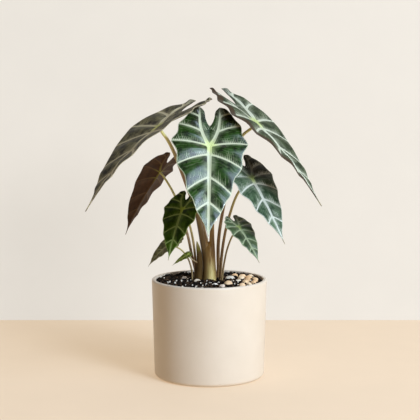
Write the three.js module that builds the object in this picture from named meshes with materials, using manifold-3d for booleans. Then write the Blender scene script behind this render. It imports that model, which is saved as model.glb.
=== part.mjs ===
// Potted african mask plant: a small aroid with arrow-shaped, wavy-edged leaves in a straight ceramic pot.
// Millimetres, +Z up. The origin is the middle of the pot's flat underside, on the table top.
// The side from which the plant is usually seen faces -Y.

import * as THREE from 'three';
import { mergeVertices } from 'three/addons/utils/BufferGeometryUtils.js';
import Module from 'manifold-3d';

const wasm = await Module();
wasm.setup();

// Driving dimensions of the pot
const POT = {
  height: 119,
  rimRadius: 70,
  baseRadius: 67,
  wall: 4.5,
  floor: 7,
  heelRadius: 5,
  lipRadius: 2,
  sides: 56,
};

// Clearance between pieces that touch
const GAP = 0.3;

// Driving dimensions of the soil
const SOIL = {
  level: 115,
  mound: 2,
  moundWidth: 24,
  crumb: 0.8,
  rings: 11,
  sides: 44,
  seed: 7,
};

// Driving dimensions of the stem: the clasping leaf bases that rise out of the soil as one trunk.
// Each limb is a run of stations: [x, y, z, radius].
const STEM = {
  sides: 14,
  ribs: 5,
  ribDepth: 0.05,
  trunk: [
    [0, 0, 92, 8.6], [0, 0, 114, 9.2], [0, 0, 121, 8.6], [-0.1, 0, 134, 7.8], [-0.4, 0, 147, 7.2],
    [-0.8, 0, 157, 6], [-1, -0.2, 164, 2.6],
  ],
  leftLimb: [
    [-2.4, 0, 126, 5.2], [-4.2, 0, 150, 5.1], [-7.2, -0.3, 168, 5], [-11.7, -1, 190, 4.2],
    [-16, -2.2, 205, 3.3],
  ],
  rightLimb: [[3.4, -1, 130, 4.8], [3.4, -1.4, 150, 4], [3.3, -2.2, 168, 3.1], [3.4, -4, 186, 2.6]],
};

// The dark leaf base that stands left of the trunk, and the rolled new leaf that comes out of it
const SHEATH = [[-13.5, -3, 103, 4.2], [-13.5, -3, 118, 4.2], [-12.1, -3, 134, 3.7], [-12.7, -3, 149, 3]];
const SPROUT = [[-12.7, -3, 149.4, 2.7], [-13.2, -3, 154, 2.6], [-14.1, -3, 160, 1.8], [-15.1, -3, 165, 0.4]];

// Leaf stalks: the places that each one runs through, then its radius at the foot and at the blade.
// The run ends at the underside of the blade of the same name. A stalk with a limb carries on from
// that limb of the stem, and the others start in the soil, or at the side of the sheath.
const STALKS = {
  left_high: { limb: 'leftLimb', run: [[-24.4, -7, 227.5], [-41.5, -20, 273], [-49, -30, 289]], head: 1.7 },
  front: { limb: 'rightLimb', run: [[3.4, -11, 215], [2.2, -25, 250], [1, -43, 276]], head: 1.7 },
  right_high: {
    run: [[11.4, 7, 100], [11.4, 7, 121], [11, 5.5, 161], [15.9, 1, 199], [28, -6.5, 255], [38.5, -13, 292]],
    foot: 2.4, head: 1.7,
  },
  right_mid: {
    run: [[13.2, -4.5, 100], [13.2, -4.5, 121], [16.9, -6, 163], [24.2, -10, 197], [35, -16.5, 226]],
    foot: 2.1, head: 1.4,
  },
  right_low: {
    run: [[15.6, -10.5, 103], [15.6, -10.5, 121], [18.5, -13, 143], [22, -17, 159], [27.5, -24, 174]],
    foot: 1.3, head: 1,
  },
  left_mid: {
    run: [[-15.8, 10, 100], [-15.8, 10, 121], [-21.3, 11.5, 145], [-27, 14, 172], [-42.3, 20.5, 218]],
    foot: 2.1, head: 1.3,
  },
  left_low: {
    run: [
      [-17, 4, 100], [-17, 4, 121], [-17.2, 3.4, 142], [-19.2, -2, 163], [-23, -14, 184], [-27.4, -28, 201],
    ],
    foot: 1.9, head: 1.2,
  },
  left_back: {
    run: [[-20.6, -0.8, 103], [-20.6, -0.8, 120], [-21.6, -1, 130], [-26, -2.5, 144], [-34, -6, 155]],
    foot: 1.2, head: 0.9,
  },
  left_tiny: {
    run: [[-16, -5, 140], [-19.6, -6.4, 142.5]],
    sideways: [-0.88, -0.47, 0], foot: 0.9, head: 0.7,
  },
};
const STALK_SIDES = 8;
const STALK_STEP = 11;
// Below 1, a stalk thins faster near its foot
const STALK_TAPER = 0.7;
// Length of straight stalk at the blade, in parts of its radius there
const STALK_LEAD = 4;

// Leaf blades. A blade hangs from its junction, where the stalk meets the underside.
// heading: compass angle of the midrib, from +X towards +Y. drop: angle of the midrib below level.
// roll: turn about the midrib. length: junction to tip. width: across the widest pair of side veins.
// bend: how far the midrib curls down over its length. fold: rise of each half from the midrib.
// arch: how far the halves round over. twist: turn from junction to tip. lobe: length of the rear lobes.
// point: how far the rear lobes narrow to a point, from 0, round, to 1.
const BLADES = {
  front: {
    junction: [0.3, -60, 283], heading: -91, drop: 55, roll: -7, length: 122, width: 89,
    bend: 4, fold: 5, arch: 0.05, twist: -9, lobe: 0.86, point: 0, thickness: 0.9, large: true,
  },
  right_high: {
    junction: [55, -20, 309], heading: -39, drop: 37, roll: -9, length: 134, width: 93,
    bend: 14, fold: 5, arch: 0.05, twist: -13, lobe: 1.05, point: 0.7, thickness: 0.9, large: true,
  },
  left_high: {
    junction: [-58.5, -44, 305], heading: 224, drop: 28, roll: 12, length: 146, width: 118,
    bend: 21, fold: 4, arch: -0.03, twist: 13, lobe: 1.03, point: 0.8, thickness: 0.9, large: true,
  },
  right_mid: {
    junction: [50, -25, 243.5], heading: -50, drop: 48, roll: 3, length: 93, width: 67,
    bend: 7, fold: 6, arch: 0.1, twist: -1, lobe: 0.73, point: 0.2, thickness: 0.8, large: true,
  },
  left_mid: {
    junction: [-61, 30, 246], heading: 162, drop: 52, roll: 15, length: 91, width: 67,
    bend: 17, fold: 13, arch: 0.09, twist: 2, lobe: 0.64, point: 0.3, thickness: 0.8, large: true,
  },
  left_low: {
    junction: [-31.5, -45, 208], heading: 240, drop: 54, roll: 5, length: 65, width: 53,
    bend: 11, fold: 5, arch: 0.04, twist: -7, lobe: 0.8, point: 0, thickness: 0.8, large: false,
  },
  right_low: {
    junction: [35, -35, 186], heading: -53, drop: 38, roll: 4, length: 54, width: 37,
    bend: 14, fold: 5, arch: 0.04, twist: 2, lobe: 0.74, point: 0, thickness: 0.8, large: false,
  },
  left_back: {
    junction: [-45, -12, 164.5], heading: 201, drop: 32, roll: -18, length: 41, width: 30,
    bend: 24, fold: 6, arch: 0.04, twist: 0, lobe: 0.7, point: 0, thickness: 0.7, large: false,
  },
  left_tiny: {
    junction: [-25, -9, 149.5], heading: 200, drop: 25, roll: -28, length: 24, width: 11,
    bend: 15, fold: 6, arch: 0, twist: 0, lobe: 0.4, point: 0, thickness: 0.7, large: false,
  },
};

// Flat outline of one half of a blade, in parts of its length; the junction is 0,0 and the tip 0,1.
// Each side vein leaves the spine at root and meets the margin at end. On the spine, 0 is the tip,
// 1 the junction and 2 the tip of the rear lobe, so the spine is the midrib and then the lobe vein.
const LOBE_TIP = [0.105, -0.515];
const VEINS = [
  { root: 0, end: [0, 1] },
  { root: 0.2, end: [0.045, 0.83] },
  { root: 0.4, end: [0.13, 0.7] },
  { root: 0.665, end: [0.235, 0.5] },
  { root: 0.91, end: [0.345, 0.225] },
  { root: 1, end: [0.41, -0.04] },
  { root: 1.42, end: [0.335, -0.27] },
  { root: 1.78, end: [0.225, -0.43] },
  { root: 2, end: LOBE_TIP },
];
const WIDEST = 0.41;
// How far the margin draws in between one vein end and the next
const DRAWN_IN = [0.013, 0, 0.008, 0.028, 0.026, 0.026, 0.012, -0.012];
const LOBE_VEIN = [[0, 0], [0.135, -0.2], LOBE_TIP];
// Edge of the notch between the lobes, from its closed end on the centre line to the lobe's tip
const NOTCH_EDGE = [[0, -0.27], [0.018, -0.284], [0.046, -0.36], [0.06, -0.455], LOBE_TIP];
const VEIN_BOW = 0.1;
// The swelling between two side veins: its height in parts of the blade's length, the place on the way
// to the margin where it is highest, and how much of it is lost from there to the margin
const QUILT = { height: 0.02, crest: 0.6, loss: 0.35 };
// Depth of the rib under a large blade's junction. Along the midrib it falls to the tip's share, along
// a lobe vein to the lobe's share, and a side vein starts with its own share and runs out.
const RIDGE = { depth: 1.1, fullLength: 110, tip: 0.35, lobe: 0.3, sideVein: 0.55, runOut: 0.8 };
// Rows of corners from the spine to the margin, and from the lobe vein inwards, and columns between
// two side veins, for large and for small blades
const ROWS = {
  large: { outs: [0, 0.08, 0.36, 0.7, 1], inwards: [0, 0.3, 1], betweens: [0, 0.14, 0.5, 0.86] },
  small: { outs: [0, 0.1, 0.5, 1], inwards: [0, 1], betweens: [0, 0.5] },
};

// River pebbles on the soil: [x, y, half length, half width, turn]. The tan ones lie close together at
// the right, and the others here and there.
const PEBBLES = {
  pebble_tan_1: [22.5, -27, 5.3, 4.4, 15],
  pebble_tan_2: [31.6, 30, 4.9, 4, 70],
  pebble_tan_3: [39.2, 11, 5.4, 4.3, 95],
  pebble_tan_4: [48.6, 13.5, 5.2, 4.3, 80],
  pebble_tan_5: [43.4, -16.5, 5.6, 4.3, 100],
  pebble_tan_6: [38.9, -38.5, 4.8, 4, 60],
  pebble_tan_7: [55.2, -10.5, 4.8, 3.8, 75],
  pebble_tan_8: [47.3, -31.5, 4.6, 3.7, 120],
  pebble_tan_9: [46.4, -2.4, 5.4, 4.1, 85],
  pebble_tan_10: [55.8, 3.2, 5, 3.7, 100],
  pebble_tan_11: [41, 24.5, 5.2, 4.1, 60],
  pebble_tan_12: [53, -22, 4.4, 3.5, 110],
  pebble_tan_13: [50.8, 24.4, 4.6, 3.9, 50],
  pebble_grey_right: [25.4, 8.9, 5.7, 4.2, 10],
  pebble_rose: [15.1, -44, 3.9, 3.4, -20],
  pebble_white: [6.8, -32.6, 3.2, 2.9, 40],
  pebble_cream_left: [-14.4, -12.2, 4.3, 3.4, 5],
  pebble_cream_right: [35.4, -7.4, 3.4, 3, 30],
  pebble_grey_left: [-30.8, 14.1, 3.6, 3.1, 25],
  pebble_small_left: [-26.4, 3, 2.4, 2.1, -30],
};
const PEBBLE = { flatness: 0.86, sunk: 0.28, around: 8, rows: 5, dent: 0.06, seed: 21 };

const CERAMIC = new THREE.MeshStandardMaterial({ color: '#e6dccd', roughness: 0.6, metalness: 0 });
const SOIL_BLACK = new THREE.MeshStandardMaterial({ color: '#211c19', roughness: 0.95, metalness: 0 });
const STEM_BROWN = new THREE.MeshStandardMaterial({ color: '#6b5538', roughness: 0.6, metalness: 0 });
const SHEATH_DARK = new THREE.MeshStandardMaterial({ color: '#4a4034', roughness: 0.7, metalness: 0 });
const STALK_BROWN = new THREE.MeshStandardMaterial({ color: '#7a6140', roughness: 0.55, metalness: 0 });
const LEAF_GREEN = new THREE.MeshStandardMaterial({ color: '#24402a', roughness: 0.4, metalness: 0 });
const LEAF_OLIVE = new THREE.MeshStandardMaterial({ color: '#6f7a35', roughness: 0.5, metalness: 0 });
const STONE_TAN = new THREE.MeshStandardMaterial({ color: '#c09a6f', roughness: 0.7, metalness: 0 });
const STONE_PALE = new THREE.MeshStandardMaterial({ color: '#c9c2b8', roughness: 0.7, metalness: 0 });

const radians = THREE.MathUtils.degToRad;
const lerp = THREE.MathUtils.lerp;

// A repeatable draw of numbers from 0 to 1
function seededDraw(seed) {
  let state = seed;
  return () => {
    state = (state * 1664525 + 1013904223) % 4294967296;
    return state / 4294967296;
  };
}

// Closed geometry with shared corners, from corner coordinates and triangles
function closedGeometry(positions, triangles) {
  const geometry = new THREE.BufferGeometry();
  geometry.setAttribute('position', new THREE.Float32BufferAttribute(positions, 3));
  geometry.setIndex(triangles);
  return geometry;
}

function positionsOnly(geometry) {
  geometry.deleteAttribute('normal');
  geometry.deleteAttribute('uv');
  return mergeVertices(geometry, 1e-4);
}

function enclosedVolume(geometry) {
  const position = geometry.attributes.position;
  const index = geometry.index.array;
  const [a, b, c] = [new THREE.Vector3(), new THREE.Vector3(), new THREE.Vector3()];
  let sixfold = 0;
  for (let i = 0; i < index.length; i += 3) {
    a.fromBufferAttribute(position, index[i]);
    b.fromBufferAttribute(position, index[i + 1]);
    c.fromBufferAttribute(position, index[i + 2]);
    sixfold += a.dot(b.cross(c));
  }
  return sixfold / 6;
}

// Turns the faces outwards if they all point in
function facingOut(geometry) {
  if (enclosedVolume(geometry) > 0) return geometry;
  const index = geometry.index.array;
  for (let i = 0; i < index.length; i += 3) {
    [index[i + 1], index[i + 2]] = [index[i + 2], index[i + 1]];
  }
  return geometry;
}

function solidOf(geometry) {
  const merged = facingOut(positionsOnly(geometry));
  return new wasm.Manifold(new wasm.Mesh({
    numProp: 3,
    vertProperties: new Float32Array(merged.attributes.position.array),
    triVerts: new Uint32Array(merged.index.array),
  }));
}

function geometryOf(solid) {
  const mesh = solid.getMesh();
  return closedGeometry(Array.from(mesh.vertProperties), Array.from(mesh.triVerts));
}

function piece(name, geometry, material) {
  const mesh = new THREE.Mesh(facingOut(geometry), material);
  mesh.name = name;
  return mesh;
}

// Skin over rings of equally many corners, closed by a middle corner at each end
function loft(rings) {
  const positions = [];
  const triangles = [];
  const sides = rings[0].length;
  rings.forEach((ring) => ring.forEach((corner) => positions.push(...corner.toArray())));
  for (let r = 0; r + 1 < rings.length; r += 1) {
    for (let s = 0; s < sides; s += 1) {
      const next = (s + 1) % sides;
      const low = r * sides;
      const high = low + sides;
      triangles.push(low + s, low + next, high + next, low + s, high + next, high + s);
    }
  }
  [0, rings.length - 1].forEach((r) => {
    const middle = new THREE.Vector3();
    rings[r].forEach((corner) => middle.addScaledVector(corner, 1 / sides));
    positions.push(...middle.toArray());
    const hub = positions.length / 3 - 1;
    for (let s = 0; s < sides; s += 1) {
      const here = r * sides + s;
      const next = r * sides + ((s + 1) % sides);
      triangles.push(...(r === 0 ? [hub, next, here] : [hub, here, next]));
    }
  });
  return closedGeometry(positions, triangles);
}

// The wall and floor of the pot, turned as one: flat underside, rounded heel, straight side, round lip
function potGeometry() {
  const { height, rimRadius, baseRadius, wall, floor, heelRadius, lipRadius } = POT;
  const outline = [new THREE.Vector2(0, 0)];
  for (let i = 0; i <= 3; i += 1) {
    const angle = radians(i * 30);
    const across = baseRadius - heelRadius + heelRadius * Math.sin(angle);
    outline.push(new THREE.Vector2(across, heelRadius * (1 - Math.cos(angle))));
  }
  const lipMiddle = rimRadius - lipRadius;
  const mouth = rimRadius - wall;
  for (let i = 0; i <= 2; i += 1) {
    const angle = radians(i * 45);
    const across = lipMiddle + lipRadius * Math.cos(angle);
    outline.push(new THREE.Vector2(across, height - lipRadius * (1 - Math.sin(angle))));
  }
  outline.push(new THREE.Vector2(mouth + 1, height));
  outline.push(new THREE.Vector2(mouth, height - 1));
  outline.push(new THREE.Vector2(baseRadius - wall, floor + heelRadius));
  outline.push(new THREE.Vector2(baseRadius - wall - heelRadius, floor));
  outline.push(new THREE.Vector2(0, floor));
  return positionsOnly(new THREE.LatheGeometry(outline, POT.sides).rotateX(Math.PI / 2));
}

// Inner radius of the pot at a height above its floor's rounding
function innerRadius(z) {
  const low = POT.floor + POT.heelRadius;
  const high = POT.height - 1;
  return lerp(POT.baseRadius, POT.rimRadius, (z - low) / (high - low)) - POT.wall;
}

function soilHeight(across) {
  return SOIL.level + SOIL.mound * Math.exp(-((across / SOIL.moundWidth) ** 2));
}

// The soil fills the pot: a smooth lower body and a crumbly top
function soilBody() {
  const draw = seededDraw(SOIL.seed);
  const { sides, rings } = SOIL;
  const clear = GAP + POT.rimRadius * (1 - Math.cos(Math.PI / POT.sides));
  const low = POT.floor + GAP;
  const positions = [0, 0, low];
  const stations = [
    [POT.baseRadius - POT.wall - POT.heelRadius - clear, low],
    [POT.baseRadius - POT.wall - clear, low + POT.heelRadius],
  ];
  const ringAt = (across, height, rough) => {
    for (let s = 0; s < sides; s += 1) {
      const angle = (s / sides) * 2 * Math.PI;
      const z = height + rough * (2 * draw() - 1);
      positions.push(across * Math.cos(angle), across * Math.sin(angle), z);
    }
  };
  stations.forEach(([across, height]) => ringAt(across, height, 0));
  const edge = innerRadius(SOIL.level - 1) - clear;
  for (let r = rings; r > 0; r -= 1) {
    const across = (edge * r) / rings;
    ringAt(across, soilHeight(across), SOIL.crumb);
  }
  positions.push(0, 0, soilHeight(0));
  const triangles = [];
  const ringCount = stations.length + rings;
  for (let s = 0; s < sides; s += 1) {
    const next = (s + 1) % sides;
    triangles.push(0, 1 + next, 1 + s);
    for (let r = 0; r + 1 < ringCount; r += 1) {
      const a = 1 + r * sides;
      const b = a + sides;
      triangles.push(a + s, a + next, b + next, a + s, b + next, b + s);
    }
    const last = 1 + (ringCount - 1) * sides;
    triangles.push(last + s, last + next, positions.length / 3 - 1);
  }
  return solidOf(closedGeometry(positions, triangles));
}

// One limb of the stem, with shallow ribs where one leaf base wraps over the next
function limbGeometry(stations) {
  const path = new THREE.CatmullRomCurve3(stations.map(([x, y, z]) => new THREE.Vector3(x, y, z)));
  const steps = (stations.length - 1) * 2;
  const rings = [];
  for (let i = 0; i <= steps; i += 1) {
    const middle = path.getPoint(i / steps);
    const place = Math.min(Math.floor(i / 2), stations.length - 2);
    const radius = lerp(stations[place][3], stations[place + 1][3], i / 2 - place);
    const ring = [];
    for (let s = 0; s < STEM.sides; s += 1) {
      const angle = (s / STEM.sides) * 2 * Math.PI;
      const reach = radius * (1 + STEM.ribDepth * Math.cos(STEM.ribs * angle));
      ring.push(middle.clone().add(new THREE.Vector3(reach * Math.cos(angle), reach * Math.sin(angle), 0)));
    }
    rings.push(ring);
  }
  return loft(rings);
}

function stemGeometry() {
  const trunk = solidOf(limbGeometry(STEM.trunk));
  const left = solidOf(limbGeometry(STEM.leftLimb));
  const right = solidOf(limbGeometry(STEM.rightLimb));
  return geometryOf(trunk.add(left).add(right));
}

// A round tapering stalk through the given places. The end rings can be laid square to a direction.
function stalkGeometry(places, footRadius, headRadius, footFacing, headFacing) {
  const path = new THREE.CatmullRomCurve3(places);
  const steps = Math.max(3, Math.round(path.getLength() / STALK_STEP));
  const frames = path.computeFrenetFrames(steps, false);
  const rings = [];
  for (let i = 0; i <= steps; i += 1) {
    const along = i / steps;
    const middle = path.getPointAt(along);
    const radius = lerp(footRadius, headRadius, along ** STALK_TAPER);
    const across = frames.normals[i].clone();
    const up = frames.binormals[i].clone();
    const facing = i === 0 ? footFacing : i === steps ? headFacing : null;
    if (facing) {
      const turn = new THREE.Quaternion().setFromUnitVectors(frames.tangents[i], facing);
      across.applyQuaternion(turn);
      up.applyQuaternion(turn);
    }
    const ring = [];
    for (let s = 0; s < STALK_SIDES; s += 1) {
      const angle = (s / STALK_SIDES) * 2 * Math.PI;
      ring.push(middle.clone()
        .addScaledVector(across, radius * Math.cos(angle))
        .addScaledVector(up, radius * Math.sin(angle)));
    }
    rings.push(ring);
  }
  return loft(rings);
}

function flatCurve(places) {
  return new THREE.SplineCurve(places.map(([x, y]) => new THREE.Vector2(x, y)));
}

// Margin of one half: through every vein end, and drawn in between each two
function marginCurve() {
  const places = [];
  VEINS.forEach(({ end }, k) => {
    places.push(end);
    if (k + 1 === VEINS.length) return;
    const next = VEINS[k + 1].end;
    const chord = new THREE.Vector2(next[0] - end[0], next[1] - end[1]);
    const inward = new THREE.Vector2(chord.y, -chord.x).normalize();
    if (inward.x > 0) inward.negate();
    places.push([
      (end[0] + next[0]) / 2 + inward.x * DRAWN_IN[k],
      (end[1] + next[1]) / 2 + inward.y * DRAWN_IN[k],
    ]);
  });
  return flatCurve(places);
}

const margin = marginCurve();
const notchEdge = flatCurve(NOTCH_EDGE);
const lobeVein = new THREE.QuadraticBezierCurve(...LOBE_VEIN.map(([x, y]) => new THREE.Vector2(x, y)));

function spinePoint(root) {
  return root <= 1 ? new THREE.Vector2(0, 1 - root) : lobeVein.getPoint(root - 1);
}

// A place between side vein k and the next (between 0..1), from the spine (out 0) to the margin (out 1)
function outerPoint(k, between, out) {
  const root = lerp(VEINS[k].root, VEINS[k + 1].root, between);
  const start = spinePoint(root);
  const end = margin.getPoint((k + between) / (VEINS.length - 1));
  const bow = new THREE.Vector2().addVectors(start, end).multiplyScalar(0.5);
  bow.y -= VEIN_BOW * start.distanceTo(end);
  return new THREE.QuadraticBezierCurve(start, bow, end).getPoint(out);
}

// A place between the lobe vein (inward 0) and the centre line or the edge of the notch (inward 1)
function innerPoint(root, inward) {
  const along = root - 1;
  const start = lobeVein.getPoint(along);
  const end = along < 0.5
    ? new THREE.Vector2(0, NOTCH_EDGE[0][1] * along * 2)
    : notchEdge.getPoint(along * 2 - 1);
  return start.lerp(end, inward);
}

// How much the blade swells between two side veins: most in the middle, none on a vein
function swell(between, out) {
  const rise = 1 - (1 - Math.min(out / QUILT.crest, 1)) ** 2;
  const fall = 1 - QUILT.loss * Math.max(0, (out - QUILT.crest) / (1 - QUILT.crest)) ** 2;
  return Math.sin(Math.PI * between) ** 2 * rise * fall;
}

function bladeAxes(blade) {
  const heading = radians(blade.heading);
  const drop = radians(blade.drop);
  const roll = radians(blade.roll);
  const along = new THREE.Vector3(Math.cos(heading), Math.sin(heading), 0)
    .multiplyScalar(Math.cos(drop))
    .setZ(-Math.sin(drop));
  const level = new THREE.Vector3(-Math.sin(heading), Math.cos(heading), 0);
  const over = new THREE.Vector3().crossVectors(along, level);
  const across = level.clone().multiplyScalar(Math.cos(roll)).addScaledVector(over, Math.sin(roll));
  const up = over.clone().multiplyScalar(Math.cos(roll)).addScaledVector(level, -Math.sin(roll));
  return { along, across, up };
}

// Takes a place on the flat half blade into the folded, bent and twisted blade
function shapedPoint(blade, axes, side, flat, swollen) {
  const { length, width, lobe, point } = blade;
  const halfWidth = width / 2;
  const pointed = flat.y < 0 ? point * (flat.y / LOBE_TIP[1]) ** 4 : 0;
  const x = side * lerp(flat.x, LOBE_TIP[0], pointed) * (halfWidth / WIDEST);
  const y = flat.y * length * (flat.y < 0 ? lobe : 1);
  const rise = Math.tan(radians(blade.fold)) * Math.abs(x)
    - (blade.arch * x * x) / halfWidth + QUILT.height * length * swollen;
  const twist = radians(blade.twist) * (y / length);
  const across = x * Math.cos(twist) - rise * Math.sin(twist);
  const lift = x * Math.sin(twist) + rise * Math.cos(twist);
  const curl = radians(blade.bend) / length;
  const angle = curl * y;
  return new THREE.Vector3(...blade.junction)
    .addScaledVector(axes.along, Math.sin(angle) / curl + lift * Math.sin(angle))
    .addScaledVector(axes.across, across)
    .addScaledVector(axes.up, (Math.cos(angle) - 1) / curl + lift * Math.cos(angle));
}

// Middle surface of a blade, as places, triangles and how far the underside stands out as a rib
function bladeSheet(blade) {
  const axes = bladeAxes(blade);
  const places = [];
  const ribs = [];
  const triangles = [];
  const known = new Map();
  const addPlace = (side, flat, swollen, rib) => {
    const key = `${(side * flat.x).toFixed(5)} ${flat.y.toFixed(5)}`.replace('-0.00000', '0.00000');
    if (!known.has(key)) {
      known.set(key, places.length);
      places.push(shapedPoint(blade, axes, side, flat, swollen));
      ribs.push(rib);
    }
    return known.get(key);
  };
  const addGrid = (columns, side) => {
    for (let c = 0; c + 1 < columns.length; c += 1) {
      for (let r = 0; r + 1 < columns[c].length; r += 1) {
        const [a, b] = [columns[c][r], columns[c + 1][r]];
        const [d, e] = [columns[c][r + 1], columns[c + 1][r + 1]];
        [[a, b, e], [a, e, d]].forEach((t) => {
          if (t[0] === t[1] || t[1] === t[2] || t[2] === t[0]) return;
          triangles.push(side > 0 ? [t[0], t[2], t[1]] : t);
        });
      }
    }
  };
  const { outs, inwards, betweens } = blade.large ? ROWS.large : ROWS.small;
  const spineRib = (root) => (root <= 1 ? lerp(RIDGE.tip, 1, root) : lerp(1, RIDGE.lobe, root - 1));
  [1, -1].forEach((side) => {
    const outer = [];
    const inner = [];
    for (let k = 0; k + 1 < VEINS.length; k += 1) {
      const first = k === 0;
      const last = k + 2 === VEINS.length;
      const columns = first || last ? [...ROWS.small.betweens] : [...betweens];
      if (last) columns.push(1);
      columns.forEach((between) => {
        const root = lerp(VEINS[k].root, VEINS[k + 1].root, between);
        const onVein = between === 0 ? RIDGE.sideVein : 0;
        outer.push(outs.map((out) => addPlace(side, outerPoint(k, between, out), swell(between, out),
          out === 0 ? spineRib(root) : onVein * (1 - RIDGE.runOut * out))));
        if (root < 1) return;
        inner.push(inwards.map((inward) => addPlace(side, innerPoint(root, inward), 0,
          inward === 0 ? spineRib(root) : 0)));
      });
    }
    addGrid(outer, side);
    addGrid(inner, -side);
  });
  return { axes, places, ribs, triangles };
}

// A blade of even thickness, with raised ribs under the midrib, the lobe veins and the side veins.
// Both faces are split into the same triangles.
function bladeGeometry(blade) {
  const { places, ribs, triangles } = bladeSheet(blade);
  const normals = places.map(() => new THREE.Vector3());
  triangles.forEach(([a, b, c]) => {
    const edge = places[b].clone().sub(places[a]);
    const normal = places[c].clone().sub(places[a]);
    normal.crossVectors(edge, normal);
    [a, b, c].forEach((i) => normals[i].add(normal));
  });
  normals.forEach((normal) => normal.normalize());
  const half = blade.thickness / 2;
  const positions = [];
  places.forEach((place, i) => positions.push(...place.clone().addScaledVector(normals[i], half).toArray()));
  places.forEach((place, i) => {
    const depth = half + ribs[i] * ribDepth(blade);
    positions.push(...place.clone().addScaledVector(normals[i], -depth).toArray());
  });
  const count = places.length;
  const faces = [];
  const edges = new Map();
  triangles.forEach(([a, b, c]) => {
    faces.push(a, b, c, count + a, count + c, count + b);
    [[a, b], [b, c], [c, a]].forEach(([from, to]) => {
      if (edges.has(`${to} ${from}`)) edges.delete(`${to} ${from}`);
      else edges.set(`${from} ${to}`, [from, to]);
    });
  });
  edges.forEach(([from, to]) => faces.push(from, count + from, count + to, from, count + to, to));
  return closedGeometry(positions, faces);
}

function ribDepth(blade) {
  return RIDGE.depth * Math.min(1, blade.length / RIDGE.fullLength);
}

// Where a stalk ends: just clear of the rib under the blade's junction, square to the blade
function stalkSeat(blade) {
  const { up } = bladeAxes(blade);
  const depth = blade.thickness / 2 + ribDepth(blade) + GAP;
  const junction = new THREE.Vector3(...blade.junction);
  return { up, seat: junction.clone().addScaledVector(up, -depth) };
}

function stalkPiece(name) {
  const { limb, run, sideways, head } = STALKS[name];
  let { foot } = STALKS[name];
  let facing = sideways ? new THREE.Vector3(...sideways).normalize() : null;
  const places = run.map(([x, y, z]) => new THREE.Vector3(x, y, z));
  if (limb) {
    const [x, y, z, radius] = STEM[limb].at(-1);
    places.unshift(new THREE.Vector3(x, y, z + GAP));
    foot = radius;
    facing = new THREE.Vector3(0, 0, 1);
  }
  const { up, seat } = stalkSeat(BLADES[name]);
  places.push(seat.clone().addScaledVector(up, -STALK_LEAD * head), seat);
  return piece(`stalk_${name}`, stalkGeometry(places, foot, head, facing, up), STALK_BROWN);
}

// A water-worn pebble: a flattened ball with shallow dents, turned about the upright
function pebbleGeometry([x, y, halfLength, halfWidth, turn], draw, grow) {
  const ball = positionsOnly(new THREE.SphereGeometry(1, PEBBLE.around, PEBBLE.rows));
  const position = ball.attributes.position;
  for (let i = 0; i < position.count; i += 1) {
    const reach = 1 + PEBBLE.dent * (2 * draw() - 1);
    position.setXYZ(i, position.getX(i) * reach, position.getY(i) * reach, position.getZ(i) * reach);
  }
  const halfHeight = halfWidth * PEBBLE.flatness;
  ball.rotateX(Math.PI / 2);
  ball.scale(halfLength + grow, halfWidth + grow, halfHeight + grow);
  ball.rotateZ(radians(turn));
  const lift = halfHeight * (1 - 2 * PEBBLE.sunk);
  return ball.translate(x, y, soilHeight(Math.hypot(x, y)) + lift);
}

// One pebble. With grow above 0 it is the space that the pebble needs.
function pebbleSolid(name, grow) {
  const draw = seededDraw(PEBBLE.seed * (1 + Object.keys(PEBBLES).indexOf(name)));
  return solidOf(pebbleGeometry(PEBBLES[name], draw, grow));
}

// An upright round hole from the given bottom to above the soil
function roundHole(x, y, radius, bottom) {
  const depth = POT.height - bottom;
  const hole = new THREE.CylinderGeometry(radius, radius, depth, STEM.sides);
  hole.rotateX(Math.PI / 2);
  hole.translate(x, y, bottom + depth / 2);
  return solidOf(hole);
}

// Holes in the soil for everything that is rooted in it, and seats for the pebbles
function soilGeometry() {
  let soil = soilBody();
  [STEM.trunk, SHEATH].forEach(([[x, y, z], [, , , radius]]) => {
    soil = soil.subtract(roundHole(x, y, radius * (1 + STEM.ribDepth) + 2 * GAP, z - GAP));
  });
  Object.values(STALKS).forEach(({ run, foot }) => {
    const [x, y, z] = run[0];
    if (z < SOIL.level) soil = soil.subtract(roundHole(x, y, foot + 2 * GAP, z - GAP));
  });
  Object.keys(PEBBLES).forEach((name) => {
    soil = soil.subtract(pebbleSolid(name, GAP));
  });
  return geometryOf(soil);
}

const plant = new THREE.Group();
plant.add(piece('pot', potGeometry(), CERAMIC));
plant.add(piece('soil', soilGeometry(), SOIL_BLACK));
plant.add(piece('stem', stemGeometry(), STEM_BROWN));
plant.add(piece('sheath_left', limbGeometry(SHEATH), SHEATH_DARK));
plant.add(piece('sprout', limbGeometry(SPROUT), LEAF_OLIVE));
Object.keys(STALKS).forEach((name) => plant.add(stalkPiece(name)));
Object.keys(BLADES).forEach((name) => {
  const material = name === 'left_tiny' ? LEAF_OLIVE : LEAF_GREEN;
  plant.add(piece(`blade_${name}`, bladeGeometry(BLADES[name]), material));
});
Object.keys(PEBBLES).forEach((name) => {
  const material = name.startsWith('pebble_tan') ? STONE_TAN : STONE_PALE;
  plant.add(piece(name, geometryOf(pebbleSolid(name, 0)), material));
});

export default plant;
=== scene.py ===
# Potted african mask plant: arrow-shaped, quilted aroid leaves on a fan of brown stalks, in a straight
# pot of cream ceramic filled with black potting mix, perlite and river pebbles.
# Metres, +Z up. The origin is the middle of the pot's flat underside, and the front faces -Y.

import math

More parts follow.
